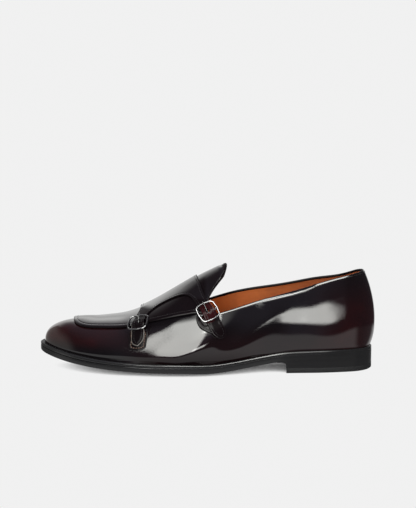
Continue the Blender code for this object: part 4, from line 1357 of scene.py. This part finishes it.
def panel_faces(flat, outline, holes):
    """Triangles of a panel's plan, and the sides of its loops."""
    sides = []
    start = 0
    for loop in [outline] + holes:
        sides += [(start + i, start + (i + 1) % len(loop)) for i in range(len(loop))]
        start += len(loop)
    result = delaunay_2d_cdt([tuple(p) for p in flat], sides, [], 0, 1e-6)
    flat = np.array(result[0])
    triangles = np.array(result[2])
    centres = flat[triangles].mean(1)
    kept = inside(centres, outline)
    for hole in holes:
        kept &= ~inside(centres, hole)
    return flat, triangles[kept].tolist()


def make_panel(name, outline, holes, place, profile, spacing, finish, nodes):
    """Leather panel cut to an outline, laid over the shoe by place(x, down, rise). The profile
    gives the heights of its two faces from the distance to its edge."""
    flat, top = panel_faces(panel_grid(outline, holes, spacing), outline, holes)
    distance = distance_to(flat, outline)
    for hole in holes:
        distance = np.minimum(distance, distance_to(flat, hole))
    high, low = profile(distance)
    directed = {(t[i], t[(i + 1) % 3]) for t in top for i in range(3)}
    rim = sorted((a, b) for a, b in directed if (b, a) not in directed)
    count = len(flat)
    faces = [tuple(t) for t in top] + [tuple(i + count for i in t[::-1]) for t in top]
    faces += [(b, a, a + count, b + count) for a, b in rim]
    points = np.concatenate([place(*flat.T, height) for height in (high, low)])
    fields = {"edge": np.concatenate([distance, distance])}
    return make_piece(name, (points, faces), finish, nodes, fields)


def strap_profile(distance):
    """Upper and lower face of the saddle, with a turned edge and a creased line beside it."""
    high = STRAP - round_drop(distance, 0.40) - groove(distance, SEAM_INSET, 0.45, 0.05)
    return high, round_drop(distance, 0.35)


def tab_profile(distance):
    high = TAB - round_drop(distance, 0.35) - groove(distance, TAB_SEAM_INSET, 0.4, 0.08)
    return high, round_drop(distance, 0.35)


def saddle_outline():
    """Both edges of the saddle with the arch between its straps, finer round the straps' tips."""
    inner_foot = [SADDLE_REAR[-1], SADDLE_FRONT[0]]
    parts = [(SADDLE_FRONT, 1.0), (FRONT_TIP[:3], 0.7), (FRONT_TIP[2:], 0.7), (ARCH, 1.0),
             (REAR_TIP, 0.7), (SADDLE_REAR, 1.0), (inner_foot, 1.0)]
    return np.concatenate([smooth_line(points, SADDLE_SPACING * share)
                           for points, share in parts])


def tab_loop(outline):
    return smooth_line(outline, TAB_SPACING, closed=True)


def make_saddle():
    holes = [strap_hole(buckle) for buckle in BUCKLES]
    make_panel("saddle_straps", saddle_outline(), holes, over_saddle, strap_profile, 1.7,
               "saddle", ["saddle"])


def make_tabs():
    for name, outline in TABS.items():
        make_panel("buckle_" + name, tab_loop(outline), [], over_upper, tab_profile, 1.2, "tab",
                   [name])


# ---------------------------------------------------------------------------------- buckles

def tube(path, radii, up, sides, closed=False):
    """Sections around a path in a plane whose normal is up, for loft."""
    path = np.array(path, float)
    around = np.roll(path, -1, 0) - np.roll(path, 1, 0)
    along = unit(around if closed else np.gradient(path, axis=0))
    side = unit(np.cross(along, up))
    other = np.cross(side, along)
    turns = np.linspace(0, 2 * np.pi, sides, endpoint=False)
    ring = np.cos(turns)[:, None, None] * side + np.sin(turns)[:, None, None] * other
    return list((path + ring * np.broadcast_to(radii, len(path))[:, None]).transpose(1, 0, 2))


def frame_line(size, corner, bow):
    """Middle line of the frame: a square with round corners and sides that bow outward."""
    straight = size / 2 - corner
    line = []
    for turn in range(4):
        centre = np.array([(1, 1), (-1, 1), (-1, -1), (1, -1)][turn]) * straight
        quarter = np.radians(90 * turn)
        for angle in quarter + np.linspace(0, np.pi / 2, 11):
            line.append(centre + corner * np.array([np.cos(angle), np.sin(angle)]))
        outward = np.array([np.cos(quarter + np.pi / 2), np.sin(quarter + np.pi / 2)])
        sideways = np.array([outward[1], -outward[0]])
        for share in np.linspace(1, -1, 13)[1:-1]:
            lift = size / 2 + bow * np.cos(share * np.pi / 2) ** 2
            line.append(outward * lift + sideways * straight * share)
    return line


def make_buckle(buckle):
    """Frame, bar and prong of a buckle."""
    across, up, outward = buckle_frame(buckle)[1]
    middle_line = FRAME_SIZE - FRAME_WIRE
    bow = settings("buckle").bow / MM
    ring = [(x, y, FRAME_RISE) for x, y in frame_line(middle_line, FRAME_CORNER, bow)]
    wire = settings("buckle").wire / MM
    sections = tube(in_buckle(buckle, ring), wire / 2, outward, 18, closed=True)
    node = "buckle_" + buckle.name
    make_piece("frame_" + buckle.name, loft(sections, around=True), "metal",
               [node])

    reach = middle_line / 2
    bar = [(-reach, 0, FRAME_RISE - 0.3), (-reach, 0, BAR_RISE + 1.2),
           (0.2 - reach, 0, BAR_RISE + 0.4), (0.7 - reach, 0, BAR_RISE),
           (1.6 - reach, 0, BAR_RISE), (0, 0, BAR_RISE)]
    bar += [(-x, y, z) for x, y, z in bar[-2::-1]]
    sections = tube(in_buckle(buckle, bar), BAR_WIRE / 2, up, 14)
    make_piece("bar_" + buckle.name, loft(sections, True, True), "shaded_metal",
               [node])

    path = np.array(PRONG_PATH)
    ups = np.linspace(path[0, 0], path[-1, 0], 22)
    outs = spline(path[:, 0], path[:, 1])(ups)
    prong = np.column_stack([0 * ups, ups, outs])
    taper = PRONG_WIRE / 2 * (1.0 - 0.25 * (ups - ups[0]) / (ups[-1] - ups[0]))
    taper[0] *= 0.5
    taper[-2:] *= (0.8, 0.4)
    sections = tube(in_buckle(buckle, prong), taper, across, 14)
    make_piece("pin_" + buckle.name, loft(sections, True, True), "shaded_metal",
               ["prong_" + buckle.name])


# ---------------------------------------------------------------------------------- stitches

STITCH_INPUTS = [("Line", "NodeSocketGeometry"), ("Pitch", "NodeSocketFloat"),
                 ("Length", "NodeSocketFloat"), ("Thickness", "NodeSocketFloat"),
                 ("Seed", "NodeSocketInt"), ("Thread", "NodeSocketMaterial")]


def stitch_tree():
    """Node group that lays stitches along the edges of a line, each turned along it."""
    group = bpy.data.node_groups.new("stitches", "GeometryNodeTree")
    for name, kind in STITCH_INPUTS:
        group.interface.new_socket(name, in_out="INPUT", socket_type=kind)
    group.interface.new_socket("Stitches", in_out="OUTPUT", socket_type="NodeSocketGeometry")
    tree = Tree(group)
    given = {name: tree.node("NodeGroupInput", output=name) for name, _ in STITCH_INPUTS}
    curve = tree.node("GeometryNodeMeshToCurve", {}, {"Mesh": given["Line"]})
    spaced = tree.node("GeometryNodeResampleCurve", {"mode": "LENGTH"},
                       {"Curve": curve, "Length": given["Pitch"]})
    grain = tree.node("GeometryNodeMeshUVSphere", {}, {"Segments": 6, "Rings": 5, "Radius": 0.5})
    size = tree.node("ShaderNodeCombineXYZ", {}, {
        "X": given["Length"], "Y": given["Thickness"], "Z": given["Thickness"]})
    stitch = tree.node("GeometryNodeTransform", {}, {"Geometry": grain, "Scale": size})
    tangent = tree.node("GeometryNodeInputTangent")
    turn = tree.node("FunctionNodeAlignRotationToVector", {"axis": "X"}, {"Vector": tangent})
    uneven = tree.node("FunctionNodeRandomValue", {"data_type": "FLOAT"},
                       {2: 0.92, 3: 1.06, "Seed": given["Seed"]}, 1)
    sewn = tree.node("GeometryNodeInstanceOnPoints", {}, {
        "Points": spaced, "Instance": stitch, "Rotation": turn, "Scale": uneven})
    real = tree.node("GeometryNodeRealizeInstances", {}, {"Geometry": sewn})
    smooth = tree.node("GeometryNodeSetShadeSmooth", {}, {"Geometry": real})
    done = tree.node("GeometryNodeSetMaterial", {},
                     {"Geometry": smooth, "Material": given["Thread"]})
    tree.node("NodeGroupOutput", {}, {"Stitches": done})
    return group


def sew(name, lines, thread, nodes, seed):
    """Piece of stitches along lines of points in millimetres, each closed if it ends where it
    starts."""
    points = np.concatenate(lines)
    sides = []
    start = 0
    for line in lines:
        sides += [(start + i, start + i + 1) for i in range(len(line) - 1)]
        start += len(line)
    mesh = bpy.data.meshes.new(name)
    mesh.from_pydata([tuple(p) for p in to_metres(points)], sides, [])
    holder = add_object("seam", mesh)
    group = bpy.data.node_groups.get("stitches") or stitch_tree()
    stitch = settings("stitch")
    values = {"Pitch": stitch.pitch, "Length": stitch.length, "Thickness": stitch.thickness,
              "Seed": seed, "Thread": dressed(thread)}
    modifier = holder.modifiers.new("stitches", "NODES")
    modifier.node_group = group
    for item in group.interface.items_tree:
        if item.in_out == "INPUT" and item.name in values:
            modifier[item.identifier] = values[item.name]
    graph = bpy.context.evaluated_depsgraph_get()
    stitches = bpy.data.meshes.new_from_object(holder.evaluated_get(graph), depsgraph=graph)
    bpy.data.objects.remove(holder)
    return declare(name, stitches, nodes)


def collar_lines():
    """Line under the top edge of the quarters, from one end of the throat round the heel."""
    u, edge_down = upper_ribs()
    down = edge_down + COLLAR_SEAM
    lean = collar_lean(u, last_point(u, share_at(u, down))[:, 0], COLLAR_SEAM - WALL / 2)
    points = over_leather(u, down, THREAD_RISE - lean)
    open_part = last_point(u, 1.0)[:, 0] > THROAT_X + 2
    return [points[open_part]]


def apron_line(from_edge, start, end, height):
    """Both halves of a line on the apron's or tongue's face, as a loop round its tip or toe."""
    rows = apron_rows()
    rows = rows[(rows[:, 0] >= start) & (np.arange(len(rows)) < len(rows) - end)]
    edge_rib, edge_down, crest_rib = rows.T
    rib = row_rib(edge_rib, crest_rib, from_edge / edge_down)
    return [over_leather(side_rib(rib, inner), edge_down - from_edge, height)
            for inner in (False, True)]


def panel_line(outline, inset, place, height):
    """Closed line inside a panel's edge."""
    loop = shifted_loop(outline, inset)
    loop = np.concatenate([loop, loop[:1]])
    return place(loop[:, 0], loop[:, 1], height + 0 * loop[:, 0])


def in_seam(face, piece):
    """Height of a seam's thread, drawn into a piece's face."""
    return face - SEAM_DEPTH[piece] + THREAD_RISE


def make_stitches():
    sew("collar_stitches", collar_lines(), "dark_thread", ["upper"], 1)

    outer, inner = apron_line(APRON_SEAM, 0, TONGUE_STEPS + 3, in_seam(GAP + APRON, "apron"))
    round_toe = [np.concatenate([inner[::-1], outer[1:]])]
    sew("apron_stitches", round_toe, "dark_thread", ["apron_tongue"], 2)

    binding = []
    for seam, height in BINDING_SEAMS:
        binding += apron_line(seam, TONGUE_RIB, 4, GAP + APRON + height + THREAD_RISE)
    sew("tongue_stitches", binding, "dark_thread", ["apron_tongue"], 3)

    seam = panel_line(saddle_outline(), SEAM_INSET, over_saddle, in_seam(STRAP, "saddle"))
    sew("saddle_stitches", [seam], "dark_thread", ["saddle"], 4)

    for number, (name, outline) in enumerate(TABS.items()):
        seam = panel_line(tab_loop(outline), TAB_SEAM_INSET, over_upper, in_seam(TAB, "tab"))
        thread = "tab_thread" if name == "tab_front" else "dark_thread"
        sew(name + "_stitches", [seam], thread, [name], 5 + number)


# ---------------------------------------------------------------------------------- stage

AIM = (0.2, 0.0, 101.5)     # what the camera looks at
LENS = 113.39
SENSOR = 36.0
FLOOR_SIZE = 12.0           # in metres, like the next line
FLOOR_REACH = 0.3           # how far off the floor the painted shadow still feels the shoe
FLOOR_GAIN = 5.6            # how fast that painted shadow washes out
BALL_GAIN = 3.0             # how much faster where the ball of the foot touches it
HEEL_LOSS = 2.0             # and how much slower round the heel
DARKEST_PAINTED_SHADOW = (0.02, 0.02, 0.02, 1)      # colour of the floor's painted shadow at its darkest
AMBIENT = (2.0, 2.0, 2.0, 1)            # what lights matte surfaces

# What polish and metal see around the shoe.
GREY_SIDE = (0.60, 0.59, 0.56, 1)       # beside the toe
DARK_FRONT = (0.200, 0.190, 0.240, 1)   # straight ahead of the shoe's outer side
DARK_SIDE = (0.050, 0.048, 0.056, 1)    # to both sides of that
CEILING = (1.5, 1.5, 1.46, 1)           # next to the softboxes
WALL_FOOT = (1.35, 1.35, 1.35, 1)       # the wall behind, at its foot
WALL_TOP = (1.95, 1.95, 1.93, 1)        # and higher up
WALL_TOE = (3.6, 3.6, 3.55, 1)          # and high up behind the toe

SOFTBOX_COLOUR = (0.995, 1, 0.955)
# Softboxes in front of the shoe: place of the middle, lean from upright in degrees, width and
# height, and brightness as a share of the stage's setting.
Softbox = namedtuple("Softbox", "name place lean width height share")
SOFTBOXES = [Softbox("softbox_toe", (-340, -1000, 1325), -10.0, 597, 2680, 1.05),
             Softbox("softbox_heel", (745, -3000, 318), -5.7, 880, 587, 1.0)]
TOP_BOX = ((185, -590, 1800), 750, 980, 1.6)   # place, width, depth and share of the one above


def make_softbox(name, place, turn, width, height, share):
    """Softbox that only the polish and the metal see."""
    lamp = bpy.data.lights.new(name, "AREA")
    lamp.shape = "RECTANGLE"
    lamp.size = width * MM
    lamp.size_y = height * MM
    lamp.color = SOFTBOX_COLOUR
    lamp.energy = settings("stage").softbox * share * np.pi * lamp.size * lamp.size_y
    holder = add_object(name, lamp)
    holder.location = to_metres(place)
    holder.rotation_euler = turn
    holder.visible_camera = False
    holder.visible_diffuse = False


def make_lights():
    for box in SOFTBOXES:
        turn = (np.pi / 2, np.radians(box.lean), 0)
        make_softbox(box.name, box.place, turn, box.width, box.height, box.share)
    place, width, depth, share = TOP_BOX
    make_softbox("softbox_top", place, (0, 0, 0), width, depth, share)


def make_world():
    """Even light on matte surfaces; polish sees the floor, a white wall behind, a grey side by the
    toe and a dark room in front."""
    world = bpy.data.worlds.new("studio")
    bpy.context.scene.world = world
    world.use_nodes = True
    tree = Tree(world.node_tree)
    to_camera = tree.node("ShaderNodeLightPath", output="Is Camera Ray")
    polish = tree.node("ShaderNodeLightPath", output="Is Glossy Ray")
    x, y, z = tree.parts(tree.coordinates("Generated"))
    backdrop = (settings("stage").backdrop,) * 3 + (1,)
    beside = tree.step(0.35 * y - 0.8 * x, 0.46, 0.68)
    to_toe = tree.step(0.70 * y + x + 0.16 * tree.step(z, 0.62, 0.78), -0.06, 0.06)
    to_heel = tree.step(0.62 * y - x, -0.06, 0.06)
    behind = to_toe * to_heel * tree.step(z, 0.85, 0.57)
    wall = tree.mix(tree.step(z, 0.10, 0.45), WALL_FOOT, WALL_TOP)
    high = tree.step(x, -0.30, -0.15) * tree.step(z, 0.45, 0.65)
    wall = tree.mix(high, wall, WALL_TOE)
    ahead = tree.step(x, 0.45, 0.15) * tree.step(x, -0.6, -0.2)
    seen = tree.mix(ahead, DARK_SIDE, DARK_FRONT)
    seen = tree.mix(beside, seen, GREY_SIDE)
    ceiling = tree.step(z, 0.66, 0.84) * tree.step(y, -0.25, -0.40) * tree.step(x, -0.25, -0.10)
    seen = tree.mix(ceiling, seen, CEILING)
    seen = tree.mix(behind, seen, wall)
    floor = tree.step(z, -0.18, -0.23) * (1 - 0.9 * tree.step(x, 0.62, 0.85))
    seen = tree.mix(floor, seen, backdrop)
    seen = tree.mix(polish, AMBIENT, seen)
    seen = tree.mix(to_camera, seen, backdrop)
    light = tree.node("ShaderNodeBackground", {}, {"Color": seen, "Strength": 1.0})
    tree.node("ShaderNodeOutputWorld", {}, {"Surface": light})


def make_floor():
    mesh = bpy.data.meshes.new("floor")
    half = FLOOR_SIZE / 2
    mesh.from_pydata([(-half, -half, 0), (half, -half, 0), (half, half, 0), (-half, half, 0)], [],
                     [(0, 1, 2, 3)])
    mesh.materials.append(dressed("floor"))
    floor = add_object("floor", mesh)
    floor.visible_glossy = False


def make_camera():
    """Camera in front of the outer side."""
    stage = settings("stage")
    lens = bpy.data.cameras.new("camera")
    lens.lens = LENS
    lens.sensor_width = SENSOR
    lens.clip_start = 0.01
    holder = add_object("camera", lens)
    back = np.array([0, -np.cos(stage.pitch), np.sin(stage.pitch)]) * stage.distance
    holder.location = to_metres(AIM) + back
    holder.rotation_euler = (np.pi / 2 - stage.pitch, 0, 0)
    bpy.context.scene.camera = holder


# ---------------------------------------------------------------------------------- operators

class LOAFER_OT_sole(bpy.types.Operator):
    """Make the outsole, the welt, the heel stack and its top lift"""
    bl_idname = "loafer.sole"
    bl_label = "Sole and heel"

    def execute(self, context):
        make_outsole()
        make_welt()
        make_heel_stack()
        make_top_lift()
        return {"FINISHED"}


class LOAFER_OT_upper(bpy.types.Operator):
    """Make the upper with its rolled top edge, and its lining"""
    bl_idname = "loafer.upper"
    bl_label = "Upper and lining"

    def execute(self, context):
        make_upper()
        make_lining()
        return {"FINISHED"}


class LOAFER_OT_sock(bpy.types.Operator):
    """Make the insole with its sock"""
    bl_idname = "loafer.sock"
    bl_label = "Sock"

    def execute(self, context):
        make_insole()
        return {"FINISHED"}


class LOAFER_OT_apron(bpy.types.Operator):
    """Make the apron with its turned edge, the tongue that goes on from it, and their lining"""
    bl_idname = "loafer.apron"
    bl_label = "Apron and tongue"

    def execute(self, context):
        make_apron()
        make_apron_lining()
        return {"FINISHED"}


class LOAFER_OT_saddle(bpy.types.Operator):
    """Make the saddle with its two straps"""
    bl_idname = "loafer.saddle"
    bl_label = "Saddle"

    def execute(self, context):
        make_saddle()
        return {"FINISHED"}


class LOAFER_OT_tabs(bpy.types.Operator):
    """Make the two tabs under the buckles"""
    bl_idname = "loafer.tabs"
    bl_label = "Tabs"

    def execute(self, context):
        make_tabs()
        return {"FINISHED"}


class LOAFER_OT_buckles(bpy.types.Operator):
    """Make both buckles, each a frame, a bar and a prong"""
    bl_idname = "loafer.buckles"
    bl_label = "Buckles"

    def execute(self, context):
        for buckle in BUCKLES:
            make_buckle(buckle)
        return {"FINISHED"}


class LOAFER_OT_stitches(bpy.types.Operator):
    """Sew the seams of the collar, the apron, the tongue, the saddle and the tabs"""
    bl_idname = "loafer.stitches"
    bl_label = "Stitches"

    def execute(self, context):
        make_stitches()
        return {"FINISHED"}


class LOAFER_OT_stage(bpy.types.Operator):
    """Set up the floor, the light and the camera"""
    bl_idname = "loafer.stage"
    bl_label = "Stage"

    def execute(self, context):
        context.scene.view_settings.view_transform = "Standard"
        make_floor()
        make_world()
        make_lights()
        make_camera()
        return {"FINISHED"}


OPERATORS = [LOAFER_OT_sole, LOAFER_OT_upper, LOAFER_OT_sock, LOAFER_OT_apron, LOAFER_OT_saddle,
             LOAFER_OT_tabs, LOAFER_OT_buckles, LOAFER_OT_stitches, LOAFER_OT_stage]


class LOAFER_PT_pieces(bpy.types.Panel):
    """Lists the loafer's settings and the pieces that can be made"""
    bl_label = "Buckled Loafer"
    bl_space_type = "VIEW_3D"
    bl_region_type = "UI"
    bl_category = "Loafer"

    def draw(self, context):
        for name, kind in SETTINGS.items():
            box = self.layout.box()
            box.label(text=name.title())
            for field in kind.__annotations__:
                box.prop(settings(name), field)
        for operator in OPERATORS:
            self.layout.operator(operator.bl_idname)


CLASSES = [*SETTINGS.values(), *OPERATORS, LOAFER_PT_pieces]


def register():
    for kind in CLASSES:
        bpy.utils.register_class(kind)
    for name, group in SETTINGS.items():
        setattr(bpy.types.Scene, "loafer_" + name, bpy.props.PointerProperty(type=group))


def unregister():
    for name in SETTINGS:
        delattr(bpy.types.Scene, "loafer_" + name)
    for kind in reversed(CLASSES):
        bpy.utils.unregister_class(kind)


def main():
    register()
    bpy.ops.loafer.sole()
    bpy.ops.loafer.upper()
    bpy.ops.loafer.sock()
    bpy.ops.loafer.apron()
    bpy.ops.loafer.saddle()
    bpy.ops.loafer.tabs()
    bpy.ops.loafer.buckles()
    bpy.ops.loafer.stitches()
    bpy.ops.loafer.stage()


if __name__ == "__main__":
    main()
